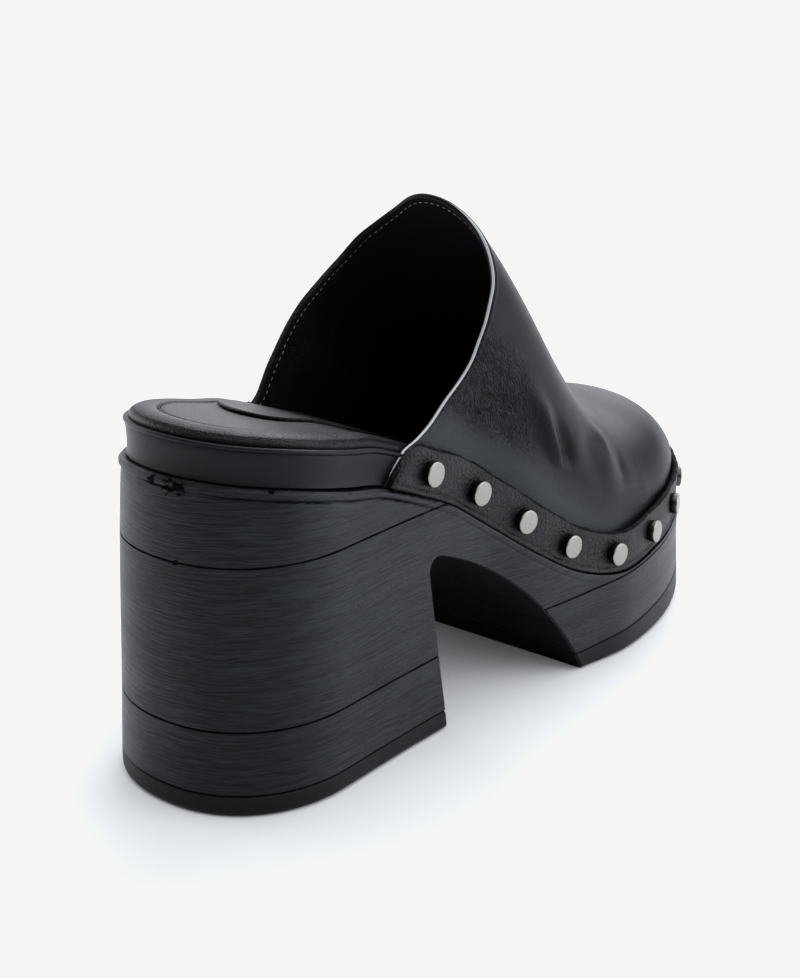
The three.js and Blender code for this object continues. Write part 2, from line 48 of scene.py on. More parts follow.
def table(names: str, *rows: tuple[float, ...]) -> dict[str, Array]:
    """Makes a table with named columns.

    Args:
        names: the columns' names, with spaces between them.
        rows: the rows, in the order of the key column.

    Returns:
        Each column as an array.
    """
    return dict(zip(names.split(), np.array(rows, float).T))


SOLE = table(
    "along drop lift groove",
    (0.0, 1.0, 0, 1.0),
    (0.082, 0.948, 0, 1.0),
    (0.165, 0.874, 0, 1.0),
    (0.2135, 0.832, 0, 1.0),
    (0.3, 0.694, 0, 1.0),
    (0.34, 0.617, 0, 1.01),
    (0.411, 0.434, 0, 1.03),
    (0.478, 0.256, 0, 1.04),
    (0.556, 0.085, 0, 1.05),
    (0.635, 0, 0, 1.086),
    (0.73, 0, 0.172, 1.14),
    (0.837, 0, 0.5, 1.22),
    (1.0, 0, 1.0, 1.35),
)
WAIST = table(
    "along lateral medial",
    (0, 0, 0),
    (0.28, 0.034, 0.04),
    (0.476, 0.155, 0.185),
    (0.65, 0.49, 0.455),
    (0.825, 0.768, 0.756),
    (1, 1, 1),
)
FLARE = table("height out", (0, 1.03), (0.065, 1), (0.265, 0.66), (0.757, 0), (1, -0.67))
RIDGE = table(
    "along instep toe",
    (0.16, 0.78, 1),
    (0.388, 0.93, 1),
    (0.437, 1.028, 1),
    (0.482, 1.0, 1),
    (0.531, 0.876, 1),
    (0.58, 0.661, 1),
    (0.629, 0.432, 1),
    (0.678, 0.217, 1),
    (0.727, 0.074, 1),
    (0.784, 0.016, 1),
    (0.849, 0, 1),
    (0.922, 0, 0.909),
    (1, 0, 0.67),
)
COLLAR = table(
    "height lateral medial",
    (0.45, 0.156, 0.184),
    (0.553, 0.223, 0.25),
    (0.605, 0.257, 0.287),
    (0.616, 0.279, 0.295),
    (0.637, 0.305, 0.303),
    (0.669, 0.333, 0.314),
    (0.699, 0.364, 0.327),
    (0.729, 0.389, 0.34),
    (0.759, 0.405, 0.355),
    (0.788, 0.42, 0.373),
    (0.825, 0.436, 0.403),
    (0.861, 0.453, 0.437),
    (0.903, 0.466, 0.46),
    (0.933, 0.473, 0.477),
    (0.964, 0.478, 0.485),
    (1.0, 0.48, 0.482),
    (1.3, 0.48, 0.48),
)
ARCH_RISE = table(
    "along rise",
    (0.22, 0),
    (0.29, 0.12),
    (0.33, 0.3),
    (0.37, 0.53),
    (0.41, 0.88),
    (0.46, 1),
    (0.53, 0.6),
    (0.62, 0),
)
SOCK_EDGE = table(
    "across along",
    (-1.2, 0.43),
    (-0.64, 0.372),
    (-0.4, 0.272),
    (-0.16, 0.172),
    (0.08, 0.15),
    (0.38, 0.158),
    (0.75, 0.195),
    (1.1, 0.235),
)


def curve(rows: dict[str, Array], key: str, column: str, place: Array, flat: bool = False) -> Array:
    """Reads a column on a smooth curve through the rows.

    The curve is a cubic between neighbouring rows, whose slope at a row is that of the chord
    between the rows beside it.

    Args:
        rows: the table.
        key: name of the key column.
        column: name of the column to read.
        place: places on the key column.
        flat: whether the curve starts and ends level.

    Returns:
        The column's value at each place.
    """
    keys, values = rows[key], rows[column]
    slopes = np.empty_like(values)
    slopes[1:-1] = (values[2:] - values[:-2]) / (keys[2:] - keys[:-2])
    slopes[0] = 0 if flat else (values[1] - values[0]) / (keys[1] - keys[0])
    slopes[-1] = 0 if flat else (values[-1] - values[-2]) / (keys[-1] - keys[-2])
    at = np.clip(place, keys[0], keys[-1])
    i = np.clip(np.searchsorted(keys, at, side="left") - 1, 0, len(keys) - 2)
    span = keys[i + 1] - keys[i]
    t = (at - keys[i]) / span
    start = values[i] * (2 * t**3 - 3 * t**2 + 1)
    end = values[i + 1] * (3 * t**2 - 2 * t**3)
    leave = span * slopes[i] * (t**3 - 2 * t**2 + t)
    arrive = span * slopes[i + 1] * (t**3 - t**2)
    return start + end + leave + arrive


def step(low: float | Array, high: float | Array, value: Array) -> Array:
    """Smooth step: 0 below low, 1 above high, with level ends; high may be the smaller."""
    t = np.clip((value - low) / (high - low), 0, 1)
    return t * t * (3 - 2 * t)


def unit(vectors: Array) -> Array:
    """Vectors along the last axis, each scaled to length 1."""
    return vectors / np.maximum(np.linalg.norm(vectors, axis=-1, keepdims=True), 1e-9)


def run_length(path: Array) -> Array:
    """Length from the first point to each point, along the first axis."""
    steps = np.linalg.norm(np.diff(path, axis=0), axis=-1)
    return np.concatenate([0 * steps[:1], np.cumsum(steps, axis=0)])


def read_path(values: Array, length: Array, where: Array) -> Array:
    """Reads values along a path, on straight lines between its points."""
    return np.stack([np.interp(where, length, values[:, k]) for k in range(3)], axis=-1)


@dataclass(frozen=True)
class Last:
    """The shoe's form: its named sizes, and the heights and outlines worked out from them."""

    sole_length: float = 243.5
    heel_width: float = 65
    heel_round: float = 35
    ball_width: float = 97.7
    toe_round: float = 82.4
    toe_lean: float = 3.2
    toe_swing: float = 1.5
    heel_fullness: float = 2.17
    toe_fullness: float = 1.98
    heel_height: float = 91.1
    platform_height: float = 27.8
    toe_lift: float = 6.4
    toe_spring: float = 3.5
    outsole_thickness: float = 5.9
    outsole_toe_gain: float = 6.8
    wall_flare: float = 1.8
    heel_block_length: float = 79.3
    low_groove_height: float = 24.4
    band_height: float = 10.8
    insole_thickness: float = 3.1
    arch_rise: float = 9
    instep_height: float = 102.2
    toe_box_height: float = 38.5
    collar_height: float = 145.7
    upper_inset: float = 2
    ridge_swing: float = 4
    crown_fullness: float = 2.68
    instep_fullness: float = 2
    toe_box_fullness: float = 2.17
    toe_cap_length: float = 58
    toe_overhang: float = 2.2
    toe_tuck: float = 8.5
    rand_width: float = 13.3
    gap: float = 0.3
    heel_share: float = 0.19
    toe_share: float = 0.63

    @property
    def heel_centre(self) -> float:
        """Length from the heel's back to the middle of the heel block."""
        return self.heel_block_length / 2

    @property
    def toe_centre(self) -> float:
        """Length from the heel's back to where the toe's round begins."""
        return self.sole_length - self.toe_round

    def block_top(self, x: Array) -> Array:
        """Height of the block's top: the platform, plus shares of the heel's rise and toe's lift.

        Args:
            x: length along the shoe.

        Returns:
            Heights over the floor.
        """
        along = x / self.sole_length
        rise = (self.heel_height - self.platform_height) * curve(SOLE, "along", "drop", along)
        return self.platform_height + rise + self.toe_lift * curve(SOLE, "along", "lift", along)

    def sole_bottom(self, x: Array) -> Array:
        """Height of the sole's underside: level, then a square law up to the toe spring."""
        start = self.toe_centre + self.toe_round / 3
        return self.toe_spring * np.clip((x - start) / (self.sole_length - start), 0, 1) ** 2

    def outsole_top(self, x: Array) -> Array:
        """Height of the outsole's upper side, which climbs in a straight line under the toe.

        Args:
            x: length along the shoe.

        Returns:
            Heights over the floor.
        """
        start = self.toe_centre - 0.28 * self.toe_round
        share = np.clip((x - start) / (self.sole_length - start), 0, 1)
        return self.outsole_thickness + self.outsole_toe_gain * share

    def low_groove(self, x: Array) -> Array:
        """Height of the lower engraved line."""
        return self.low_groove_height * curve(SOLE, "along", "groove", x / self.sole_length)

    def band_top(self, x: Array) -> Array:
        """Height of the covered midsole's top."""
        return self.block_top(x) + self.band_height

    def footbed(self, x: Array, y: Array) -> Array:
        """Height of the footbed, tilted up towards the arch of the foot.

        Args:
            x: length along the shoe.
            y: place across the shoe.

        Returns:
            Heights over the floor.
        """
        share = curve(ARCH_RISE, "along", "rise", x / self.sole_length, True)
        tilt = self.arch_rise * share * (0.5 + y / self.ball_width)
        return self.band_top(x) + self.insole_thickness + tilt

    def rand_rise(self, x: Array) -> Array:
        """Upright height of the rand over the block's top, so that its width stays the same."""
        slope = (self.block_top(x + 1) - self.block_top(x - 1)) / 2
        return self.gap + self.rand_width * np.hypot(1, slope)

    def wall_out(self, z: Array) -> Array:
        """Outward flare of the block's wall at a height."""
        return self.wall_flare * curve(FLARE, "height", "out", z / self.heel_height)

    def waist_half(self, share: Array, side: Array) -> Array:
        """Half width between heel and ball: the heel's, plus a share of its growth to the ball's.

        Args:
            share: 0 where the heel's round ends, 1 at the ball.
            side: -1 on the outer side, 1 on the inner side.

        Returns:
            Distances from the middle line.
        """
        lateral = curve(WAIST, "along", "lateral", share, True)
        medial = curve(WAIST, "along", "medial", share, True)
        grown = np.where(side < 0, lateral, medial)
        ball = self.ball_width / 2 + side * self.toe_swing
        return self.heel_width / 2 + (ball - self.heel_width / 2) * grown

    def plan(self, turn: Array, out: Array, z: Array) -> tuple[Array, Array]:
        """Point of the plan's outline.

        Two superellipse quarters close the heel and the toe, and the waist's half widths lie
        between them.

        Args:
            turn: 0 at the heel's back, 1 at the toe by the outer side, 2 back at the heel.
            out: distance that the outline is moved out.
            z: height, which sets how far the toe's wall leans back.

        Returns:
            x and y.
        """
        side = np.where(turn < 1, -1.0, 1.0)
        way = np.where(turn < 1, turn, 2 - turn)
        out, z = np.broadcast_arrays(out, z)[0] + 0 * way, z + 0 * way
        heel = np.clip(way / self.heel_share, 0, 1) * np.pi / 2
        toe = np.clip((1 - way) / (1 - self.toe_share), 0, 1) * np.pi / 2
        share = np.clip((way - self.heel_share) / (self.toe_share - self.heel_share), 0, 1)

        heel_along = np.maximum(np.cos(heel), 0) ** (2 / self.heel_fullness)
        heel_across = np.maximum(np.sin(heel), 0) ** (2 / self.heel_fullness)
        toe_along = np.maximum(np.cos(toe), 0) ** (2 / self.toe_fullness)
        toe_across = np.maximum(np.sin(toe), 0) ** (2 / self.toe_fullness)
        lean = self.toe_lean * np.clip(z / (0.8 * self.platform_height), 0, 1)
        x_heel = self.heel_round - (self.heel_round + out) * heel_along
        y_heel = side * (self.heel_width / 2 + out) * heel_across
        x_toe = self.toe_centre + (self.toe_round - lean + out) * toe_along
        y_toe = self.toe_swing + side * (self.ball_width / 2 + out) * toe_across
        x_waist = self.heel_round + (self.toe_centre - self.heel_round) * share
        y_waist = side * (self.waist_half(share, side) + out)
        zone = [way < self.heel_share, way > self.toe_share]
        return (
            np.select(zone, [x_heel, x_toe], x_waist),
            np.select(zone, [y_heel, y_toe], y_waist),
        )

    def half_width(self, x: Array, side: Array, out: float) -> Array:
        """Half width of the upper's form: the waist's, then a superellipse quarter at the toe.

        Args:
            x: length along the shoe.
            side: -1 on the outer side, 1 on the inner side.
            out: distance that the form is moved out.

        Returns:
            Distances from the middle line.
        """
        waist = (x - self.heel_round) / (self.toe_centre - self.heel_round)
        middle = self.waist_half(np.clip(waist, 0, 1), side) + out
        reach = self.toe_round + self.toe_overhang + out
        share = np.clip((x - self.toe_centre) / reach, 0, 1)
        across = (1 - share**self.toe_fullness) ** (1 / self.toe_fullness)
        toe = (self.ball_width / 2 + out) * across + side * self.toe_swing
        return np.where(x > self.toe_centre, toe, middle)

    def form_tip(self, out: float) -> float:
        """Foremost point of the upper's form."""
        return self.sole_length + self.toe_overhang - self.upper_inset + out

    def ridge(self, x: Array) -> Array:
        """Height of the upper's ridge: the toe box, plus a share of the rise to the instep.

        Args:
            x: length along the shoe.

        Returns:
            Heights over the block's top.
        """
        along = x / self.sole_length
        toe = self.toe_box_height * curve(RIDGE, "along", "toe", along)
        rise = self.instep_height - self.toe_box_height
        return toe + rise * curve(RIDGE, "along", "instep", along)

    def form_height(self, x: Array, out: float) -> Array:
        """Height of the form: the ridge moved out square to its slope, and a round cap at the toe.

        Args:
            x: length along the shoe.
            out: distance that the form is moved out.

        Returns:
            Heights over the block's top.
        """
        high = self.block_top(x + 1) + self.ridge(x + 1)
        low = self.block_top(x - 1) + self.ridge(x - 1)
        steepness = np.hypot(1, (high - low) / 2)
        cap = np.clip((x - self.form_tip(out) + self.toe_cap_length) / self.toe_cap_length, 0, 1)
        return (self.ridge(x) + out * steepness) * np.sqrt(1 - cap**3)

    def tuck(self, x: Array, rise: Array) -> Array:
        """How far the toe box is tucked back: by the square of the way forward, near its foot.

        Args:
            x: length along the shoe.
            rise: height over the block's top.

        Returns:
            Distances back.
        """
        forward = np.clip((x - self.toe_centre) / self.toe_round, 0, 1)
        up = step(0.55 * self.rand_width, 1.4 * self.rand_width, rise)
        return self.toe_tuck * forward**2 * (1 - up)

    def section(self, x: Array, side: Array, out: float) -> tuple[Array, Array, Array]:
        """The form's cross section, which changes evenly from the instep to the toe box.

        Args:
            x: length along the shoe.
            side: -1 on the outer side, 1 on the inner side.
            out: distance that the form is moved out.

        Returns:
            The section's centre, its reach to that side and its fullness.
        """
        start, full = 0.45 * self.sole_length, 0.82 * self.sole_length
        forward = np.clip((x - start) / (full - start), 0, 1)
        centre = self.ridge_swing + (self.toe_swing - self.ridge_swing) * forward
        grown = self.toe_box_fullness - self.instep_fullness
        fullness = self.instep_fullness + grown * forward
        half = np.maximum(self.half_width(x, side, out - self.upper_inset), 0)
        reach = np.where(x > self.form_tip(out) - 1e-6, 0, half - side * centre)
        return centre, reach, fullness

    def form_point(self, x: Array, angle: Array, out: float) -> Array:
        """Point on the upper's form.

        The section is a superellipse: across is the cosine to 2 over its fullness, and up the
        sine to 2 over the crown's fullness.

        Args:
            x: length from the heel's back, before the toe is tucked.
            angle: 0 at the inner foot, a half turn at the outer foot.
            out: distance that the form is moved out.

        Returns:
            Points, with x, y and z on the last axis.
        """
        side = np.where(angle <= np.pi / 2, 1.0, -1.0)
        centre, reach, fullness = self.section(x, side, out)
        across = np.abs(np.cos(angle)) ** (2 / fullness)
        up = np.maximum(np.sin(angle), 0) ** (2 / self.crown_fullness)
        rise = np.maximum(self.form_height(x, out), 0) * up
        y = centre + side * reach * across
        z = self.block_top(x) + np.maximum(rise, self.gap)
        return np.stack([x - self.tuck(x, rise), y, z], axis=-1)

    def collar(self, y: Array, z: Array) -> Array:
        """Length at which the collar's edge lies: its two sides' curves, mixed across the shoe.

        Args:
            y: place across the shoe.
            z: height over the floor.

        Returns:
            Lengths from the heel's back.
        """
        share = z / self.collar_height
        lateral = curve(COLLAR, "height", "lateral", share)
        medial = curve(COLLAR, "height", "medial", share)
        blend = np.clip(0.5 + y / self.heel_width, 0, 1)
        return (lateral + (medial - lateral) * blend) * self.sole_length


LAST = Last()


def ring(turn: Array, height: Height, out: Out) -> Array:
    """One level of a layer of the sole.

    Args:
        turn: places round the outline.
        height: height over the plan.
        out: distance that the outline is moved out, from x and height.

    Returns:
        Points round the outline.
    """
    start = height(np.array(LAST.toe_centre), np.array(0.0))
    x_guess, y_guess = LAST.plan(turn, np.array(0.0), start)
    z_guess = height(x_guess, 0 * y_guess)
    x, y = LAST.plan(turn, out(x_guess, z_guess), z_guess)
    return np.stack([x, y, height(x, y)], axis=-1)


def turns(count: int) -> Array:
    """Places round the outline, an even number, from the heel's back by the outer side."""
    return np.arange(count) * 2 / count


def to_spine(edge: Array, rows: int, height: Height | None = None) -> list[Array]:
    """Rings that close a layer from its edge to the line halfway between its sides.

    Args:
        edge: the layer's last ring.
        rows: how many rings to make.
        height: height over the plan, or None for straight lines across.

    Returns:
        The rings, in order, of which the last lies folded on the middle line.
    """
    mate = np.roll(edge[::-1], 1, axis=0)
    middle = (edge + mate) / 2
    rings = []
    for share in np.linspace(0, 1, rows + 1)[1:]:
        points = edge + (middle - edge) * share
        if height is not None:
            points[:, 2] = height(points[:, 0], points[:, 1])
        rings.append(points)
    return rings


def grid_faces(rows: int, columns: int, loop_rows: bool, loop_columns: bool) -> Array:
    """Corner numbers of the quads of a grid, which may close on itself either way.

    Args:
        rows: how many rows the grid has.
        columns: how many columns it has.
        loop_rows: whether the last row joins the first.
        loop_columns: whether the last column joins the first.

    Returns:
        Four corner numbers to a face.
    """
    r = np.arange(rows if loop_rows else rows - 1)[:, None]
    c = np.arange(columns if loop_columns else columns - 1)[None, :]
    r_next, c_next = (r + 1) % rows, (c + 1) % columns
    corners = [r * columns + c, r * columns + c_next, r_next * columns + c_next, r_next * columns + c]
    return np.stack([k + 0 * r + 0 * c for k in corners], axis=-1).reshape(-1, 4)


def write_mesh(name: str, points: Array, faces: Array) -> bpy.types.Mesh:
    """Fills a mesh from arrays.

    Args:
        name: the mesh's name.
        points: places in millimetres, in the shoe's stations.
        faces: corner numbers, four to a face.

    Returns:
        The mesh, in metres, with its origin under the middle of the heel.
    """
    placed = (points - np.array([LAST.heel_centre, 0, 0])) * MM
    mesh = bpy.data.meshes.new(name)
    mesh.vertices.add(len(placed))
    mesh.vertices.foreach_set("co", placed.astype(np.float32).ravel())
    mesh.loops.add(faces.size)
    mesh.loops.foreach_set("vertex_index", faces.astype(np.int32).ravel())
    mesh.polygons.add(len(faces))
    mesh.polygons.foreach_set("loop_start", np.arange(0, faces.size, 4, dtype=np.int32))
    mesh.update(calc_edges=True)
    mesh.validate()
    return mesh


def heal(mesh: bpy.types.Mesh, sharp: float) -> None:
    """Merges doubles, turns faces outwards and shades smooth, with edges above an angle sharp.

    Args:
        mesh: the mesh.
        sharp: the angle in degrees.
    """
    work = bmesh.new()
    work.from_mesh(mesh)
    bmesh.ops.remove_doubles(work, verts=work.verts, dist=2e-6)
    bmesh.ops.dissolve_degenerate(work, edges=work.edges, dist=1e-6)
    bmesh.ops.recalc_face_normals(work, faces=work.faces)
    work.to_mesh(mesh)
    work.free()
    mesh.shade_smooth()
    mesh.set_sharp_from_angle(angle=np.radians(sharp))


def stations(mesh: bpy.types.Mesh) -> Array:
    """Reads a mesh back in the shoe's own stations.

    Args:
        mesh: the mesh.

    Returns:
        Each vertex's x, y and z in millimetres, as three arrays.
    """
    co = np.empty(len(mesh.vertices) * 3, np.float32)
    mesh.vertices.foreach_get("co", co)
    return (co.reshape(-1, 3) / MM + np.array([LAST.heel_centre, 0, 0])).T


def write_mask(mesh: bpy.types.Mesh, name: str, mask: Array) -> None:
    """Stores a mask from 0 to 1 on the vertices, for the materials to read."""
    made = mesh.attributes.new(name, "FLOAT", "POINT")
    made.data.foreach_set("value", np.clip(mask, 0, 1).astype(np.float32))


def make_piece(name: str, points: Array, faces: Array, sharp: float = 40) -> bpy.types.Object:
    """Makes a closed piece from arrays and links it to the scene.

    Args:
        name: the piece's name.
        points: places in millimetres, in the shoe's stations.
        faces: corner numbers, four to a face.
        sharp: angle in degrees above which an edge stays sharp.

    Returns:
        The piece.
    """
    mesh = write_mesh(name, points, faces)
    heal(mesh, sharp)
    piece = bpy.data.objects.new(name, mesh)
    bpy.context.scene.collection.objects.link(piece)
    return piece


def layer(name: str, rings: list[Array] | Array, sharp: float = 40) -> bpy.types.Object:
    """Makes a piece from rings that each close on themselves."""
    points = np.array(rings)
    return make_piece(name, points.reshape(-1, 3), grid_faces(*points.shape[:2], False, True), sharp)


def capped(
    name: str, rings: list[Array], top_rows: int, sharp: float = 40, height: Height | None = None
) -> bpy.types.Object:
    """Makes a layer of the sole, closed below and above on the line between its sides.

    Args:
        name: the piece's name.
        rings: the rings of its wall, from the bottom up.
        top_rows: how many rings close the top.
        sharp: angle in degrees above which an edge stays sharp.
        height: height of the top over the plan, or None for straight lines across.

    Returns:
        The piece.
    """
    whole = to_spine(rings[0], 2)[::-1] + rings + to_spine(rings[-1], top_rows, height)
    return layer(name, whole, sharp)


def sheet(name: str, points: Array, sharp: float) -> bpy.types.Object:
    """Makes a sheet whose rows loop round its section, with its two sides closed.

    A side is closed by quads between each row's end and that of the opposite row.

    Args:
        name: the piece's name.
        points: places as rows by columns, with an even number of rows.
        sharp: angle in degrees above which an edge stays sharp.

    Returns:
        The piece.
    """
    rows, columns = points.shape[:2]
    i = np.arange(rows // 2)
    j = rows - 1 - i
    first = np.stack([i[:-1] * columns, i[1:] * columns, j[1:] * columns, j[:-1] * columns], axis=-1)
    last = first[:, ::-1] + columns - 1
    faces = np.concatenate([grid_faces(rows, columns, True, False), first, last])
    return make_piece(name, points.reshape(-1, 3), faces, sharp)


def cut(piece: bpy.types.Object, cutter: bpy.types.Object, sharp: float = 40) -> None:
    """Takes one piece out of another and deletes the cutter.

    Args:
        piece: the piece that is cut.
        cutter: the piece that is taken out of it.
        sharp: angle in degrees above which an edge stays sharp.
    """
    modifier = piece.modifiers.new("cut", "BOOLEAN")
    modifier.operation = "DIFFERENCE"
    modifier.solver = "EXACT"
    modifier.object = cutter
    graph = bpy.context.evaluated_depsgraph_get()
    mesh = bpy.data.meshes.new_from_object(piece.evaluated_get(graph))
    piece.modifiers.clear()
    piece.data = mesh
    heal(mesh, sharp)
    bpy.data.objects.remove(cutter)


def dress(
    piece: bpy.types.Object, material: bpy.types.Material, slot: str, *nodes: str
) -> bpy.types.Object:
    """Gives a piece its material, the body that it rides on and the nodes it stands for.

    Args:
        piece: the piece.
        material: its material.
        slot: not used.
        nodes: the nodes that it replaces, if any.

    Returns:
        The piece.
    """
    piece.data.materials.clear()
    piece.data.materials.append(material)
    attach(piece, "root")
    if nodes:
        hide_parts(*nodes)
    LOG.info("%s: %d faces", piece.name, len(piece.data.polygons))
    return piece


class Sockets:
    """Adds nodes to a tree and links them, with values set on the nodes' own sockets."""

    def __init__(self, tree: bpy.types.NodeTree) -> None:
        """Keeps the tree."""
        self.tree = tree

    def feed(self, socket: bpy.types.NodeSocket, value: object) -> None:
        """Links a socket to an input, or sets the input to a plain value.

        Args:
            socket: the input.
            value: a socket or a plain value.
        """
        if isinstance(value, bpy.types.NodeSocket):
            self.tree.links.new(value, socket)
        else:
            socket.default_value = value

    def add(self, kind: str, inputs: dict | None = None, **settings: object) -> bpy.types.Node:
        """Adds a node.

        Args:
            kind: the node's type, without the words ShaderNode.
            inputs: values or sockets for its inputs, by name or number.
            settings: the node's own properties.

        Returns:
            The node.
        """
        full = kind if kind.startswith("Node") else "ShaderNode" + kind
        node = self.tree.nodes.new(full)
        for key, value in settings.items():
            setattr(node, key, value)
        for key, value in (inputs or {}).items():
            self.feed(node.inputs[key], value)
        return node

    def math(self, operation: str, a: object, b: object = 0.0) -> bpy.types.NodeSocket:
        """Adds a Math node and returns its output."""
        return self.add("Math", {0: a, 1: b}, operation=operation).outputs[0]

    def times(self, a: object, b: object) -> bpy.types.NodeSocket:
        """Multiplies two values and returns the output."""
        return self.math("MULTIPLY", a, b)

    def plus(self, a: object, b: object) -> bpy.types.NodeSocket:
        """Adds two values and returns the output."""
        return self.math("ADD", a, b)

    def span(
        self, value: object, low: float, high: float, to_low: float = 0.0, to_high: float = 1.0
    ) -> bpy.types.NodeSocket:
        """Maps a value from one range to another, clamped, and returns the output."""
        inputs = {"Value": value, "From Min": low, "From Max": high, "To Min": to_low, "To Max": to_high}
        return self.add("MapRange", inputs).outputs["Result"]

    def mix(self, share: object, a: object, b: object) -> bpy.types.NodeSocket:
        """Mixes two colours and returns the output."""
        return self.add("Mix", {0: share, 6: a, 7: b}, data_type="RGBA").outputs[2]

    def glow(self, direction: bpy.types.NodeSocket, box: SoftBox) -> bpy.types.NodeSocket:
        """Strength of a soft disc of light, from the angle between a direction and its middle.

        Args:
            direction: the direction that a ray takes.
            box: the disc.

        Returns:
            The box's strength inside it, falling to 0 at its outer angle.
        """
        middle = tuple(Vector(box.direction).normalized())
        near = self.add("VectorMath", {0: direction, 1: middle}, operation="DOT_PRODUCT").outputs["Value"]
        inputs = {"Value": near, "From Min": np.cos(np.radians(box.outer))}
        inputs |= {"From Max": np.cos(np.radians(box.inner)), "To Max": box.strength}
        return self.add("MapRange", inputs, interpolation_type="SMOOTHSTEP").outputs["Result"]

    def stretch(self, vector: object, scale: tuple[float, float, float]) -> bpy.types.NodeSocket:
        """Scales a vector along each axis and returns the output."""
        return self.add("Mapping", {"Vector": vector, "Scale": scale}).outputs[0]

    def noise(
        self, vector: object, scale: object, detail: float = 3, rough: float = 0.5, output: int = 0
    ) -> bpy.types.NodeSocket:
        """Adds a noise texture and returns its value, or its colour where output is 1."""
        inputs = {"Vector": vector, "Scale": scale, "Detail": detail, "Roughness": rough}
        return self.add("TexNoise", inputs).outputs[output]

    def warp(
        self, vector: object, place: object, scale: object, detail: float, reach: float
    ) -> bpy.types.NodeSocket:
        """Moves a vector about by the three channels of a noise texture.

        Args:
            vector: the vector to move.
            place: where the noise is read.
            scale: the noise's scale.
            detail: the noise's detail.
            reach: how far the vector moves, per unit of the noise.

        Returns:
            The vector moved.
        """
        colour = self.noise(place, scale, detail, 0.5, 1)
        moved = self.add("VectorMath", {0: colour, 3: reach}, operation="SCALE").outputs[0]
        return self.add("VectorMath", {0: vector, 1: moved}, operation="ADD").outputs[0]

    def edges(self, vector: object, scale: object, high: float) -> bpy.types.NodeSocket:
        """Distance to the nearest border between random cells.

        Args:
            vector: where the cells are read.
            scale: the cells' scale.
            high: the distance at which the result reaches 1.

        Returns:
            The distance as a share, from 0 to 1.
        """
        inputs = {"Vector": vector, "Scale": scale}
        cells = self.add("TexVoronoi", inputs, feature="DISTANCE_TO_EDGE")
        return self.span(cells.outputs[0], 0.0, high)

    def mask(self, name: str) -> bpy.types.NodeSocket:
        """A mask that is stored on the piece's vertices, or 0 where a piece has none."""
        return self.add("Attribute", attribute_name=name).outputs["Fac"]


def group_tree(
    name: str, inputs: dict[str, float | None], outputs: list[str]
) -> tuple[Sockets, bpy.types.NodeOutputs, bpy.types.NodeInputs]:
    """Starts a shader node group with named sockets.

    Args:
        name: the group's name.
        inputs: input names with their defaults, where None stands for a vector.
        outputs: names of the values that it puts out.

    Returns:
        The group's socket maker, what it is given and where its results go.
    """
    tree = bpy.data.node_groups.new(name, "ShaderNodeTree")
    for key, value in inputs.items():
        kind = "NodeSocketVector" if value is None else "NodeSocketFloat"
        socket = tree.interface.new_socket(name=key, in_out="INPUT", socket_type=kind)
        if value is not None:
            socket.default_value = value
    for key in outputs:
        tree.interface.new_socket(name=key, in_out="OUTPUT", socket_type="NodeSocketFloat")
    maker = Sockets(tree)
    return maker, maker.add("NodeGroupInput").outputs, maker.add("NodeGroupOutput").inputs


def leather_grain_group() -> bpy.types.NodeTree:
    """Leather's pebbled grain: cells with soft valleys between, broken up by noise.

    Returns:
        A group that puts out Height, from 0 in a valley to 1 on a pebble, and Patch, a slow
        change over the hide.
    """
    inputs = {"Vector": None, "Cells": 900.0}
    maker, given, told = group_tree("leather_grain", inputs, ["Height", "Patch"])
    vector, cells = given["Vector"], given["Cells"]
    place = maker.warp(vector, vector, maker.times(cells, 0.6), 2.0, 0.0012)
    pebble = maker.edges(place, cells, 0.28)
    fine = maker.noise(vector, maker.times(cells, 2.2), 2.0)
    maker.feed(told["Height"], maker.plus(maker.times(fine, 0.35), maker.times(pebble, 0.65)))
    maker.feed(told["Patch"], maker.noise(vector, 26.0, 2.0))
    return maker.tree


def marks_group() -> bpy.types.NodeTree:
    """Handling marks: sparse soft smudges.

    Returns:
        A group that puts out Smudge, from 0 to 1.
    """
    maker, given, told = group_tree("handling_marks", {"Vector": None}, ["Smudge"])
    maker.feed(told["Smudge"], maker.span(maker.noise(given["Vector"], 38.0, 5.0, 0.62), 0.5, 0.78))
    return maker.tree


class Effects:
    """The node groups that several materials share, each made once."""

    def __init__(self) -> None:
        """Makes the groups."""
        self.grain = leather_grain_group()
        self.marks = marks_group()


class Surface(Sockets):
    """A material in the making, with the node steps that several finishes take."""

    def __init__(self, name: str) -> None:
        """Starts the material.

        Args:
            name: the material's name.
        """
        self.material = bpy.data.materials.new(name)
        self.material.use_nodes = True
        super().__init__(self.material.node_tree)
        self.shader = self.tree.nodes["Principled BSDF"]

    def give(self, name: str, value: object) -> None:
        """Links a socket to an input of the Principled BSDF, or sets the input to a plain value."""
        self.feed(self.shader.inputs[name], value)

    def worn(self, effects: Effects) -> tuple[bpy.types.NodeSocket, bpy.types.NodeSocket]:
        """The place on the object, and the shared smudges there."""
        place = self.add("TexCoord").outputs["Object"]
        return place, self.add("Group", {"Vector": place}, node_tree=effects.marks).outputs["Smudge"]

    def gloss(self, dull: object, shine: float, least: float) -> None:
        """Sets how strongly the surface mirrors: its shine, down to a share of it where dull."""
        self.give("Specular IOR Level", self.span(dull, 0.0, 1.0, shine, least * shine))

    def emboss(self, height: object) -> None:
        """Gives the surface a relief, from a height in millimetres."""
        bump = self.add("Bump", {"Height": height, "Strength": 1.0, "Distance": MM})
        self.give("Normal", bump.outputs[0])


def shade(colour: Colour, factor: float = 1.0) -> tuple[float, float, float, float]:
    """A colour made darker or lighter by a factor, as a socket takes it."""
    return (*[channel * factor for channel in colour], 1.0)


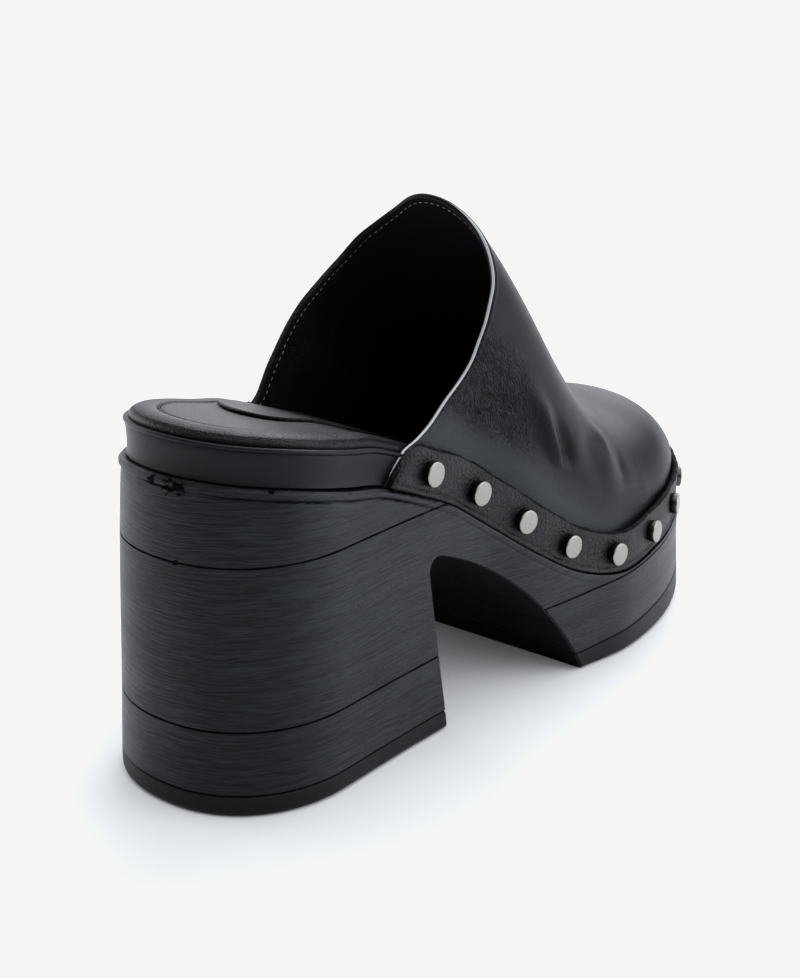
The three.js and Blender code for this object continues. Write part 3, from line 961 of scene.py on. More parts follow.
LINING_COLOUR = (0.016, 0.0165, 0.018)
# Paler colour for the low outer sides of the upper.
LOW_SIDE_PALE_COLOUR = (0.02, 0.0225, 0.026)
SCUFF_COLOUR = (0.02, 0.021, 0.023)
CHIP_COLOUR = (0.0015, 0.0015, 0.0017)


@dataclass(frozen=True)
class LeatherFinish:
    """A leather: its colour, gloss and grain, with wrinkles where the piece's masks ask."""

    name: str
    colour: Colour
    roughness: float
    cells: float
    grain_depth: float
    coat: float = 0.0
    wrinkles: bool = False
    shine: float = 0.22

    def make(self, effects: Effects) -> bpy.types.Material:
        """Makes the material: colour and roughness change slowly over the hide.

        The masks give the lining its own colour and the low outer sides a paler one, and dull the raw edges.

        Args:
            effects: the shared node groups.

        Returns:
            The material.
        """
        surface = Surface(self.name)
        place, smudge = surface.worn(effects)
        grain = surface.add("Group", {"Vector": place, "Cells": self.cells}, node_tree=effects.grain)
        patch = grain.outputs["Patch"]
        deep, light = shade(self.colour, 0.72), shade(self.colour, 1.35)
        colour = surface.mix(surface.span(patch, 0.3, 0.7), deep, light)
        colour = surface.mix(surface.mask("lining"), colour, shade(LINING_COLOUR))
        # A paler colour low on the upper's outer sides.
        colour = surface.mix(surface.mask("low_side_pale"), colour, shade(LOW_SIDE_PALE_COLOUR))
        surface.give("Base Color", colour)
        surface.gloss(surface.mask("edge"), self.shine, 0.12)
        base = surface.span(patch, 0.3, 0.7, self.roughness - 0.035, self.roughness + 0.035)
        surface.give("Roughness", surface.plus(base, surface.times(smudge, 0.05)))
        height = surface.times(grain.outputs["Height"], self.grain_depth)
        if self.wrinkles:
            height = surface.plus(height, self.wrinkle_height(surface, place))
        surface.emboss(height)
        surface.give("Coat Weight", self.coat)
        surface.give("Coat Roughness", 0.3)
        return surface.material

    @staticmethod
    def wrinkle_height(surface: Surface, place: bpy.types.NodeSocket) -> bpy.types.NodeSocket:
        """Fine break lines over the instep and a net of cracks low down, each where its mask is.

        Args:
            surface: the material in the making.
            place: Object coordinates.

        Returns:
            Height in millimetres.
        """
        flow = surface.add("UVMap", uv_map="flow").outputs[0]
        vector = surface.warp(flow, place, 120.0, 3.0, 0.0055)
        long = surface.stretch(vector, (2000.0, 240.0, 1.0))
        lines = surface.span(surface.noise(long, 1.0, 3.0, 0.6), 0.34, 0.66)
        turned = surface.add("Mapping", {"Vector": vector, "Rotation": (0.0, 0.0, 0.55)}).outputs[0]
        crack = surface.edges(surface.stretch(turned, (520.0, 1400.0, 1.0)), 1.0, 0.22)
        drawn = surface.times(surface.times(lines, 0.026), surface.mask("drawn"))
        cracked = surface.times(surface.times(crack, 0.2), surface.mask("cracked"))
        return surface.plus(drawn, cracked)


@dataclass(frozen=True)
class Mark:
    """A worn place: its middle in the shoe's stations, and how far it reaches."""

    place: tuple[float, float, float]
    reach: float

    def share(self, maker: Sockets, position: bpy.types.NodeSocket) -> bpy.types.NodeSocket:
        """How near a point is, falling evenly with its distance.

        Args:
            maker: the material's socket maker.
            position: Object coordinates.

        Returns:
            1 at the middle, 0 beyond the reach.
        """
        x, y, z = self.place
        middle = ((x - LAST.heel_centre) * MM, y * MM, z * MM)
        away = maker.add("VectorMath", {0: position, 1: middle}, operation="DISTANCE").outputs["Value"]
        return maker.span(away, 0.0, self.reach * MM, 1.0, 0.0)


@dataclass(frozen=True)
class BlockFinish:
    """Black lacquer brushed on over a horizontal grain, chipped at the rim and scuffed low down."""

    name: str = "block_lacquer"
    colour: Colour = (0.004, 0.0049, 0.0063)
    roughness: float = 0.4
    grain_depth: float = 0.2
    shine: float = 0.26
    chips: tuple[Mark, ...] = (
        Mark((0.4, 1.8, 89.3), 3.2),
        Mark((0.6, -3.2, 88.9), 4.0),
        Mark((1.2, -6.9, 89.0), 3.4),
        Mark((14.4, -26.2, 89.2), 1.9),
        Mark((0.0, -6.0, 69.3), 1.6),
    )
    scuffs: tuple[Mark, ...] = (Mark((1.0, -6.0, 22.0), 16.0), Mark((55.0, -32.5, 14.0), 9.0))

    def make(self, effects: Effects) -> bpy.types.Material:
        """Makes the material: streaks long in x and y and short in z, read three times over.

        Args:
            effects: the shared node groups.

        Returns:
            The material.
        """
        surface = Surface(self.name)
        place, smudge = surface.worn(effects)
        vector = surface.warp(place, place, 34.0, 2.0, 0.0045)
        coarse = surface.noise(surface.stretch(vector, (85.0, 85.0, 1250.0)), 1.0, 3.0, 0.6)
        fine = surface.noise(surface.stretch(vector, (230.0, 230.0, 2900.0)), 1.0, 2.0, 0.6)
        broad = surface.noise(surface.stretch(vector, (9.0, 9.0, 120.0)), 1.0, 2.0, 0.5)
        ridge = surface.times(surface.span(coarse, 0.36, 0.64), 0.6)
        streak = surface.plus(ridge, surface.times(fine, 0.4))
        deep, light = shade(self.colour, 0.4), shade(self.colour, 2.4)
        colour = surface.mix(surface.span(streak, 0.2, 0.8), deep, light)

        flake = surface.noise(surface.stretch(place, (420.0, 420.0, 800.0)), 1.0, 3.0, 0.6)
        near = surface.math("POWER", self.nearest(surface, place, self.chips), 0.5)
        chip = surface.span(surface.times(near, flake), 0.34, 0.37)
        rub = surface.times(self.nearest(surface, place, self.scuffs), streak)
        colour = surface.mix(surface.span(rub, 0.2, 0.75, 0.0, 0.6), colour, shade(SCUFF_COLOUR))
        surface.give("Base Color", surface.mix(chip, colour, shade(CHIP_COLOUR)))

        wide = surface.span(broad, 0.3, 0.7, self.roughness - 0.05, self.roughness + 0.06)
        smudged = surface.plus(wide, surface.times(smudge, 0.05))
        surface.give("Roughness", surface.plus(smudged, surface.times(chip, 0.25)))
        relief = surface.times(streak, self.grain_depth)
        surface.emboss(surface.math("SUBTRACT", relief, surface.times(chip, 0.3)))
        surface.gloss(surface.math("MAXIMUM", chip, surface.mask("edge")), self.shine, 0.22)
        return surface.material

    @staticmethod
    def nearest(
        maker: Sockets, place: bpy.types.NodeSocket, marks: tuple[Mark, ...]
    ) -> bpy.types.NodeSocket:
        """The largest share of several marks.

        Args:
            maker: the material's socket maker.
            place: Object coordinates.
            marks: the marks.

        Returns:
            The share, from 0 to 1.
        """
        most = marks[0].share(maker, place)
        for mark in marks[1:]:
            most = maker.math("MAXIMUM", most, mark.share(maker, place))
        return most


@dataclass(frozen=True)
class RubberFinish:
    """Matte moulded rubber."""

    name: str = "outsole_rubber"
    colour: Colour = (0.0055, 0.006, 0.007)
    roughness: float = 0.5
    shine: float = 0.22

    def make(self, effects: Effects) -> bpy.types.Material:
        """Makes the material from the shared marks and a very fine moulded texture.

        Args:
            effects: the shared node groups.

        Returns:
            The material.
        """
        surface = Surface(self.name)
        place, smudge = surface.worn(effects)
        dust = surface.times(smudge, 0.5)
        surface.give("Base Color", surface.mix(dust, shade(self.colour), shade(self.colour, 2.4)))
        surface.give("Roughness", surface.span(smudge, 0.0, 1.0, self.roughness, self.roughness + 0.15))
        surface.gloss(surface.mask("edge"), self.shine, 0.22)
        surface.emboss(surface.times(surface.noise(place, 1800.0, 2.0), 0.04))
        return surface.material


@dataclass(frozen=True)
class MetalFinish:
    """Light nickel plate with a faint random satin."""

    name: str = "nickel_plate"
    colour: Colour = (0.31, 0.298, 0.284)
    roughness: float = 0.3

    def make(self, effects: Effects) -> bpy.types.Material:
        """Makes the material: fine streaks in the roughness, a trace of dulling and painted shade on the edge
        mask.

        Args:
            effects: the shared node groups.

        Returns:
            The material.
        """
        surface = Surface(self.name)
        place, smudge = surface.worn(effects)
        streak = surface.noise(surface.stretch(place, (900.0, 900.0, 4200.0)), 1.0, 3.0)
        rough = surface.span(streak, 0.3, 0.7, self.roughness - 0.06, self.roughness + 0.1)
        surface.give("Roughness", rough)
        dulled = surface.times(smudge, 0.6)
        colour = surface.mix(dulled, shade(self.colour), shade(self.colour, 0.7))
        # Painted shade: on the edge mask, a stud's side wall, the colour drops to 0.3 of the plate's.
        colour = surface.mix(surface.mask("edge"), colour, shade(self.colour, 0.3))
        surface.give("Base Color", colour)
        surface.give("Metallic", 1.0)
        return surface.material


@dataclass(frozen=True)
class ThreadFinish:
    """Waxed sewing thread, with a fine noise for its fibres in colour and bump."""

    name: str
    colour: Colour
    roughness: float = 0.6

    def make(self, effects: Effects) -> bpy.types.Material:
        """Makes the material: one noise sets both the fibres' colour and their height.

        Args:
            effects: the shared node groups.

        Returns:
            The material.
        """
        surface = Surface(self.name)
        place, smudge = surface.worn(effects)
        ply = surface.noise(place, 3200.0, 2.0)
        surface.give("Base Color", surface.mix(ply, shade(self.colour, 0.7), shade(self.colour, 1.25)))
        surface.give("Roughness", surface.span(smudge, 0.0, 1.0, self.roughness, self.roughness + 0.1))
        surface.emboss(surface.times(ply, 0.05))
        return surface.material


class Finish(Enum):
    """The finishes of this shoe."""

    VAMP = LeatherFinish("vamp_leather", (0.0038, 0.0045, 0.0058), 0.36, 1500.0, 0.035, 0.0, True, 0.15)
    BAND = LeatherFinish("band_leather", (0.004, 0.0048, 0.0061), 0.4, 1300.0, 0.03)
    RAND = LeatherFinish("rand_leather", (0.0072, 0.0073, 0.0082), 0.48, 640.0, 0.2, 0.0, False, 0.28)
    FOOTBED = LeatherFinish("footbed_leather", (0.0048, 0.0053, 0.0062), 0.42, 1000.0, 0.11, 0.0, False, 0.27)
    # Light grey colour: a painted highlight along the topline's glossy folded edge.
    TOPLINE_HIGHLIGHT = LeatherFinish("edge_painted_highlight", (0.36, 0.365, 0.375), 0.25, 1200.0, 0.01, 0.3, False, 0.6)
    BLOCK = BlockFinish()
    RUBBER = RubberFinish()
    NICKEL = MetalFinish()
    THREAD = ThreadFinish("topline_thread", (0.23, 0.23, 0.24))
    DARK_THREAD = ThreadFinish("footbed_thread", (0.02, 0.02, 0.022))


class Palette:
    """Each finish as a material, made once when it is first asked for."""

    def __init__(self) -> None:
        """Makes the shared effects."""
        self.effects = Effects()
        self.made: dict[Finish, bpy.types.Material] = {}

    def get(self, finish: Finish) -> bpy.types.Material:
        """The material of a finish.

        Args:
            finish: the finish.

        Returns:
            The material.
        """
        if finish not in self.made:
            self.made[finish] = finish.value.make(self.effects)
        return self.made[finish]


@dataclass
class Stitching:
    """A row of sewn stitches as one mesh of short capsules."""

    pitch: float = 2.7
    share: float = 0.72
    radius: float = 0.27
    sides: int = 8
    sink: float = 0.08

    def make(self, name: str, path: Array, normal: Array) -> bpy.types.Object:
        """Makes the stitches.

        Each capsule is a rounded profile turned round the path's direction, bowed down by the
        cube of the way to its ends so that both dip into the leather.

        Args:
            name: the piece's name.
            path: points along the seam.
            normal: the surface's normal at each of them.

        Returns:
            The piece.
        """
        length = run_length(path)
        count = int(length[-1] / self.pitch)
        at = (np.arange(count) + 0.5) * length[-1] / count
        half = self.share * length[-1] / count / 2
        middle, out = read_path(path, length, at), unit(read_path(normal, length, at))
        along = unit(read_path(path, length, at + half) - read_path(path, length, at - half))
        across = unit(np.cross(along, out))
        out = np.cross(across, along)
        end = ((-1, 0), (-0.94, 0.55), (-0.72, 0.92), (-0.25, 1))
        profile = table("along thick", *end, *[(-along, thick) for along, thick in end[::-1]])
        turn = np.arange(self.sides) * 2 * np.pi / self.sides
        bow = -self.sink - 0.8 * self.radius * np.abs(profile["along"]) ** 3
        lift = bow[:, None] + self.radius * profile["thick"][:, None] * np.sin(turn)
        wide = self.radius * profile["thick"][:, None] * np.cos(turn)
        forward = (half * profile["along"])[:, None] + 0 * turn
        axes = zip((forward, wide, lift), (along, across, out))
        points = middle[:, None, None] + sum(v[None, ..., None] * a[:, None, None] for v, a in axes)
        faces = grid_faces(len(profile["along"]), self.sides, False, True)
        shift = np.arange(count)[:, None, None] * len(profile["along"]) * self.sides
        return make_piece(name, points.reshape(-1, 3), (faces[None] + shift).reshape(-1, 4), 60)


@dataclass
class Sole:
    """The sole block with its arch, and the two outsoles under it."""

    columns: int = 560
    outsole_edge: float = 1.9
    rim_height: float = 2.6
    rim_lip: float = 0.6
    heel_front_lean: float = 8.1
    arch_height: float = 55
    arch_gap: float = 58.7
    arch_corner: float = 4.5
    high_groove: float = 69.3
    groove_width: float = 0.6
    groove_depth: float = 0.55
    edge_round: float = 1.1
    arch_sharp: float = 38

    def arch_profile(self) -> Array:
        """Side view of the arch: up the heel's front, round the corner and down to the platform.

        Returns:
            x and z along the profile, from below the floor to below the floor.
        """
        top_x = LAST.heel_block_length - self.heel_front_lean
        start = LAST.heel_block_length + self.arch_gap
        high = self.arch_height

        def bend(a: tuple, b: tuple, c: tuple, count: int) -> Array:
            """Points of a quadratic curve from a to c, drawn towards b."""
            t = np.linspace(0, 1, count, endpoint=False)[:, None]
            return (1 - t) ** 2 * np.array(a) + 2 * t * (1 - t) * np.array(b) + t**2 * np.array(c)

        front_foot, front_top = (LAST.heel_block_length, 0), (top_x, high - self.arch_corner)
        crown_start = (top_x + self.arch_corner, high - 0.1 * self.arch_corner)
        crown_bend = (top_x + 0.64 * (start - top_x), 0.75 * high)
        rise = np.linspace(0, 1, 24, endpoint=False)[:, None]
        return np.concatenate(
            [
                [(LAST.heel_block_length, -40), (LAST.heel_block_length, -8)],
                np.array(front_foot) + rise * (np.array(front_top) - np.array(front_foot)),
                bend(front_top, (top_x, high), crown_start, 10),
                bend(crown_start, crown_bend, (start, 0), 60),
                [(start, 0), (start + 4, -8), (start + 4, -40)],
            ]
        )

    def arch_cutter(self) -> bpy.types.Object:
        """Solid that cuts the arch, flared near both walls so that the cut's edges are rounded.

        Across the shoe, the profile is moved out by r less r times the cosine of an angle that
        grows from 0 to half a quarter turn as the wall comes near.

        Returns:
            The cutter.
        """
        flat = self.arch_profile()
        ahead = np.roll(flat, -1, axis=0) - np.roll(flat, 1, axis=0)
        ahead[0], ahead[-1] = flat[1] - flat[0], flat[-1] - flat[-2]
        normal = unit(np.stack([-ahead[:, 1], ahead[:, 0]], axis=-1))
        x, z = flat[:, 0], flat[:, 1]
        angles = np.radians(np.array([0, 12, 24, 36, 46]))
        waist = (x - LAST.heel_round) / (LAST.toe_centre - LAST.heel_round)
        rings = []
        for side in (-1.0, 1.0):
            half = LAST.waist_half(np.clip(waist, 0, 1), np.array(side))
            wall = half + LAST.wall_out(np.clip(z, 0, None))
            levels = []
            for angle in angles:
                away = self.edge_round * (1 - np.cos(angle))
                across = wall - self.edge_round * (1 - np.sin(angle))
                levels.append((away, across))
            levels.append((levels[-1][0], levels[-1][1] + 20))
            for away, across in levels if side > 0 else levels[::-1]:
                moved = flat + away * normal
                rings.append(np.stack([moved[:, 0], side * across, moved[:, 1]], axis=-1))
        rings.insert(0, rings[0].mean(axis=0) + 0 * rings[0])
        rings.append(rings[-1].mean(axis=0) + 0 * rings[-1])
        return layer("arch_cutter", rings)

    def wall_heights(self, x: Array) -> Array:
        """Heights of the wall's rows over each place, from the block's foot to its rim.

        Args:
            x: length along the shoe, for each column or for each row and column.

        Returns:
            Heights as rows by columns, sorted upwards.
        """
        over = x if x.ndim == 1 else x[0]
        base, top = LAST.outsole_top(over) + LAST.gap, LAST.block_top(over)
        dig = self.groove_width * np.array([-0.5, -0.36, -0.22, 0.22, 0.36, 0.5])
        rows = [base, base + 0.35]
        rows += [base + (top - base) * share for share in np.linspace(0.02, 0.98, 24)]
        rows += [LAST.low_groove(over) + d for d in dig]
        rows += [self.high_groove + d + 0 * over for d in dig]
        rows += [top - self.rim_height * share for share in (1.25, 1.1, *np.linspace(1, 0, 11))]
        return np.sort(np.clip(np.array(rows), base, top), axis=0)

    def wall_profile(self, x: Array, z: Array) -> Array:
        """How far the wall stands out: its flare, plus the rim's lip, less the engraved lines.

        The lip steps out under the rim and rounds off at its top, with a narrow bell-shaped
        notch below it; it fades out towards the arch. Each line is a smooth step either way.

        Args:
            x: length along the shoe.
            z: height over the floor.

        Returns:
            Distances out from the plan's outline.
        """
        below = (LAST.block_top(x) - z) / self.rim_height
        lip = step(1, 0.7, below) - 1.3 * step(0.3, 0, below)
        lip = self.rim_lip * (lip - 0.7 * np.exp(-(((below - 1.02) / 0.1) ** 2)))
        lip = lip * (1 - 0.85 * step(55, 85, x))
        foot = 0.35 * step(0.35, 0, z - LAST.outsole_top(x) - LAST.gap)
        dug = 0
        for middle in (LAST.low_groove(x), self.high_groove):
            off = np.abs(z - middle) / self.groove_width
            dug = dug + self.groove_depth * step(0.5, 0.22, off)
        return LAST.wall_out(z) + lip - foot - dug

    def block(self) -> bpy.types.Object:
        """The block: its wall with two engraved lines and a rounded rim, less the arch.

        Returns:
            The piece.
        """
        place = turns(self.columns)
        x, y = LAST.plan(place, np.array(0.0), np.array(0.0))
        for _ in range(3):
            z = self.wall_heights(x)
            x, y = LAST.plan(place, self.wall_profile(x, z), z)
        piece = capped("sole_block_shell", list(np.stack([x, y, z], axis=-1)), 3)
        cut(piece, self.arch_cutter(), self.arch_sharp)
        self.shade_arch(piece)
        return piece

    def shade_arch(self, piece: bpy.types.Object) -> None:
        """Writes the edge mask on the arch's inside, which mirrors less than the walls.

        Args:
            piece: the block or an outsole.
        """
        x, y, z = stations(piece.data)
        share = (x - LAST.heel_round) / (LAST.toe_centre - LAST.heel_round)
        wall = LAST.waist_half(np.clip(share, 0, 1), np.where(y < 0, -1.0, 1.0)) + LAST.wall_out(z)
        start = LAST.heel_block_length
        inside = (x > start - self.heel_front_lean - 1) & (x < start + self.arch_gap + 1)
        inside &= (z < self.arch_height + 1) & (np.abs(y) < wall - 0.8 * self.edge_round)
        write_mask(piece.data, "edge", inside)

    def outsole(self, name: str, heel: bool) -> bpy.types.Object:
        """One outsole: the layer under the whole shoe, less the arch, of which one end is kept.

        Args:
            name: the piece's name.
            heel: whether to keep the heel's end.

        Returns:
            The piece.
        """
        place = turns(self.columns)
        corner = np.radians(np.linspace(0, 90, 7))
        wall = lambda x, z: LAST.wall_out(z)
        levels: list[tuple[Height, Out]] = []
        for angle in corner:
            up = self.outsole_edge * (1 - np.cos(angle))
            back = self.outsole_edge * (1 - np.sin(angle))
            levels.append(
                (lambda x, y, u=up: LAST.sole_bottom(x) + u, lambda x, z, b=back: wall(x, z) - b)
            )
        levels.append((lambda x, y: LAST.outsole_top(x) - 0.35, wall))
        levels.append((lambda x, y: LAST.outsole_top(x), lambda x, z: wall(x, z) - 0.35))
        piece = capped(name, [ring(place, *level) for level in levels], 2)
        cut(piece, self.arch_cutter(), self.arch_sharp)
        middle = (LAST.heel_block_length + self.arch_gap / 2 - LAST.heel_centre) * MM
        work = bmesh.new()
        work.from_mesh(piece.data)
        gone = [v for v in work.verts if (v.co.x > middle) == heel]
        bmesh.ops.delete(work, geom=gone, context="VERTS")
        work.to_mesh(piece.data)
        work.free()
        self.shade_arch(piece)
        return piece

    def build(self, palette: Palette) -> None:
        """Makes the block and both outsoles.

        Args:
            palette: the materials.
        """
        dress(self.block(), palette.get(Finish.BLOCK), "block", "sole_block")
        rubber = palette.get(Finish.RUBBER)
        dress(self.outsole("outsole_heel_shell", True), rubber, "outsole", "outsole_heel")
        dress(self.outsole("outsole_forefoot_shell", False), rubber, "outsole", "outsole_forefoot")


@dataclass
class Footbed:
    """The covered midsole, the padded footbed on it and the sock."""

    columns: int = 560
    band_inset: float = 2.5
    inner_inset: float = 4.2
    bead: float = 0.7
    insole_inset: float = 4.1
    roll_inset: float = 3.4
    edge_roll: float = 4.6
    channel_depth: float = 0.9
    channel: tuple[tuple[float, float], ...] = (
        (1.2, 0.2),
        (1.37, 0.3),
        (1.44, 0.95),
        (1.5, 1),
        (1.56, 0.95),
        (1.64, 0.5),
        (1.9, 0.5),
    )
    sock_thickness: float = 0.8
    sock_curl: float = 0.35
    curl_reach: float = 6
    sock_bevel: float = 0.35

    def band_out(self, x: Array, z: Array) -> Array:
        """The band's inset: its own behind the collar's edge, and a deeper one inside the upper.

        Args:
            x: length along the shoe.
            z: height over the floor.

        Returns:
            Distances out from the plan's outline.
        """
        far = np.minimum(LAST.collar(np.array(-99.0), z), LAST.collar(np.array(99.0), z))
        ahead = step(0.2, 1.6, x - far)
        return -self.band_inset + (self.band_inset - self.inner_inset) * ahead

    def band(self) -> bpy.types.Object:
        """The covered midsole: a wall hollowed by half a sine, with a round bead along its top.

        Returns:
            The piece.
        """
        place = turns(self.columns)
        levels: list[tuple[Height, Out]] = []
        sides = [(LAST.gap, -0.4), (LAST.gap + 0.4, 0.0)]
        sides += [(rise, -0.25 * np.sin(np.pi * rise / 8.6)) for rise in np.linspace(1.5, 8.4, 9)]
        sides.append((LAST.band_height - 2.2 * self.bead, -0.1))
        for angle in np.radians(np.linspace(-50, 90, 9)):
            up = LAST.band_height - self.bead * (1 - np.sin(angle))
            sides.append((up, self.bead * (np.cos(angle) - 0.25)))
        for rise, out in sides:
            levels.append(
                (
                    lambda x, y, r=rise: LAST.block_top(x) + r,
                    lambda x, z, o=out: self.band_out(x, z) + o,
                )
            )
        return capped("midsole_band_cover", [ring(place, *level) for level in levels], 2, 50)

    def insole(self) -> bpy.types.Object:
        """The footbed: an edge rolled in a quarter turn, and a sewn channel round its middle.

        Returns:
            The piece.
        """
        place = turns(self.columns)
        arc = [(np.sin(a), 1 - np.cos(a)) for a in np.radians(np.linspace(8, 90, 9))]
        thick = lambda x, y: LAST.footbed(x, y) - LAST.band_top(x)
        roll = self.insole_inset + self.edge_roll - self.roll_inset
        levels: list[tuple[Height, Out]] = [
            (lambda x, y: LAST.band_top(x) + 0.05, lambda x, z: 0 * x - self.roll_inset),
        ]
        for up, inward in arc:
            levels.append(
                (
                    lambda x, y, u=up: LAST.band_top(x) + 0.12 * thick(x, y) + 0.88 * u * thick(x, y),
                    lambda x, z, i=inward: 0 * x - self.roll_inset - i * roll,
                )
            )
        for share, deep in self.channel:
            levels.append(
                (
                    lambda x, y, d=deep: LAST.footbed(x, y) - d * self.channel_depth,
                    lambda x, z, s=share: 0 * x - self.insole_inset - s * self.edge_roll,
                )
            )
        rings = [ring(place, *level) for level in levels]
        middle = lambda x, y: LAST.footbed(x, y) - self.channel_depth / 2
        pad = capped("insole_pad", rings, 14, 60, middle)
        x, y, z = stations(pad.data)
        depth = LAST.footbed(x, y) - z
        sunk = step(0.7, 0.9, depth / self.channel_depth) * step(2, 1, depth)
        crevice = step(0.35, 0.12, (z - LAST.band_top(x)) / thick(x, y))
        write_mask(pad.data, "edge", np.maximum(0.9 * sunk, crevice))
        return pad

    def channel_stitches(self) -> bpy.types.Object:
        """The stitches in the footbed's channel, where they show behind the upper.

        Returns:
            The piece.
        """
        place = np.linspace(-0.32, 0.32, 500) % 2
        out = -self.insole_inset - 1.5 * self.edge_roll
        height = lambda x, y: LAST.footbed(x, y) - 0.65 * self.channel_depth
        path = ring(place, height, lambda x, z: out + 0 * x)
        normal = np.zeros_like(path) + np.array([0.12, 0, 1.0])
        return Stitching(3.0, 0.62, 0.34).make("footbed_stitches", path, normal)

    def sock(self) -> bpy.types.Object:
        """The sock: a thin sheet from its curved rear edge to the toe.

        Rows run across the shoe, from the rear edge forward; each row's ends follow the outline.

        Returns:
            The piece.
        """
        inset = self.insole_inset + 1.9 * self.edge_roll
        shares, y_share = np.linspace(0, 1, 90), np.linspace(-1, 1, 60)
        half_heel = LAST.heel_width / 2
        rear_at = lambda y: curve(SOCK_EDGE, "across", "along", y / half_heel) * LAST.sole_length
        tip = LAST.sole_length - LAST.toe_lean - inset
        y_rear = y_share * (half_heel - inset)
        x_rear = rear_at(y_rear)
        x = x_rear[None, :] + (tip - 6 - x_rear[None, :]) * shares[:, None]
        side = np.where(y_share < 0, -1.0, 1.0)[None, :] + 0 * x
        reach = np.maximum(LAST.half_width(x, side, -inset), 2)
        y = np.abs(y_share)[None, :] * side * reach
        y[0] = y_rear
        curl = self.sock_curl * np.exp(-(((x - x_rear[None, :]) / self.curl_reach) ** 2))
        curl = curl * step(-0.5, 0.3, y / half_heel)
        lift = lambda up: LAST.footbed(x, y) - self.channel_depth / 2 + up + curl
        top = np.stack([x, y, lift(self.sock_thickness)], axis=-1)
        low = np.stack([x, y, lift(0.05)], axis=-1)
        rear = [top[:1] - np.array([0, 0, down]) for down in (0.5, 0.3)]
        upper_side = top.copy()
        upper_side[0, :, 0] += self.sock_bevel
        return sheet("insole_sock_sheet", np.concatenate([low[::-1], *rear, upper_side]), 50)

    def build(self, palette: Palette) -> None:
        """Makes the band, the footbed with its stitches and the sock.

        Args:
            palette: the materials.
        """
        dress(self.band(), palette.get(Finish.BAND), "smooth_leather", "midsole_band")
        pad = dress(self.insole(), palette.get(Finish.FOOTBED), "footbed_leather", "insole")
        dress(self.sock(), palette.get(Finish.FOOTBED), "footbed_leather", "insole_sock")
        dress(self.channel_stitches(), palette.get(Finish.DARK_THREAD), "footbed_leather")


@dataclass(frozen=True)
class Crease:
    """A soft trough along a path on the outer side of the upper, or a ridge where it is negative.

    Places are shares: of the sole's length, and of the form's height there. The beside value
    raises a lower ridge next to the trough, on the path's left where it is negative.
    """

    path: tuple[tuple[float, float], ...]
    depth: float
    width: float
    beside: float = 0.0
    side: float = -1.0

    def places(self) -> Array:
        """Points along the path, on the upper's form.

        Returns:
            48 points, evenly shared out among the path's own.
        """
        rows = table("key along up", *[(k, *place) for k, place in enumerate(self.path)])
        key = np.linspace(0, len(self.path) - 1, 48)
        x = curve(rows, "key", "along", key) * LAST.sole_length
        up = np.clip(curve(rows, "key", "up", key), 0, 1)
        turned = np.arcsin(up ** (LAST.crown_fullness / 2))
        return LAST.form_point(x, np.where(self.side < 0, np.pi - turned, turned), 0)

    def height(self, points: Array, normal: Array) -> Array:
        """Height over the smooth form: minus a bell across the path, plus a bell beside it.

        Both fade along the path by a power of half a sine, which is least at its two ends.

        Args:
            points: points of the form, as rows by columns.
            normal: the form's normal at each of them.

        Returns:
            Heights in millimetres.
        """
        path = self.places()
        tangent = unit(np.gradient(path, axis=0))
        away = points[..., None, :] - path
        far = np.linalg.norm(away, axis=-1)
        nearest = np.argmin(far, axis=-1)
        near = np.take_along_axis(far, nearest[..., None], axis=-1)[..., 0]
        offset = np.take_along_axis(away, nearest[..., None, None], axis=-2)[..., 0, :]
        left = np.sum(np.cross(tangent[nearest], offset) * normal, axis=-1)
        signed = np.where(left < 0, -near, near)
        fade = np.sin(np.pi * (0.1 + 0.8 * nearest / (len(path) - 1))) ** 1.3
        trough = np.exp(-((near / self.width) ** 2))
        toward = np.sign(self.beside) * 1.9 * self.width
        hill = np.exp(-(((signed - toward) / (1.3 * self.width)) ** 2))
        return fade * self.depth * (abs(self.beside) * hill - trough)


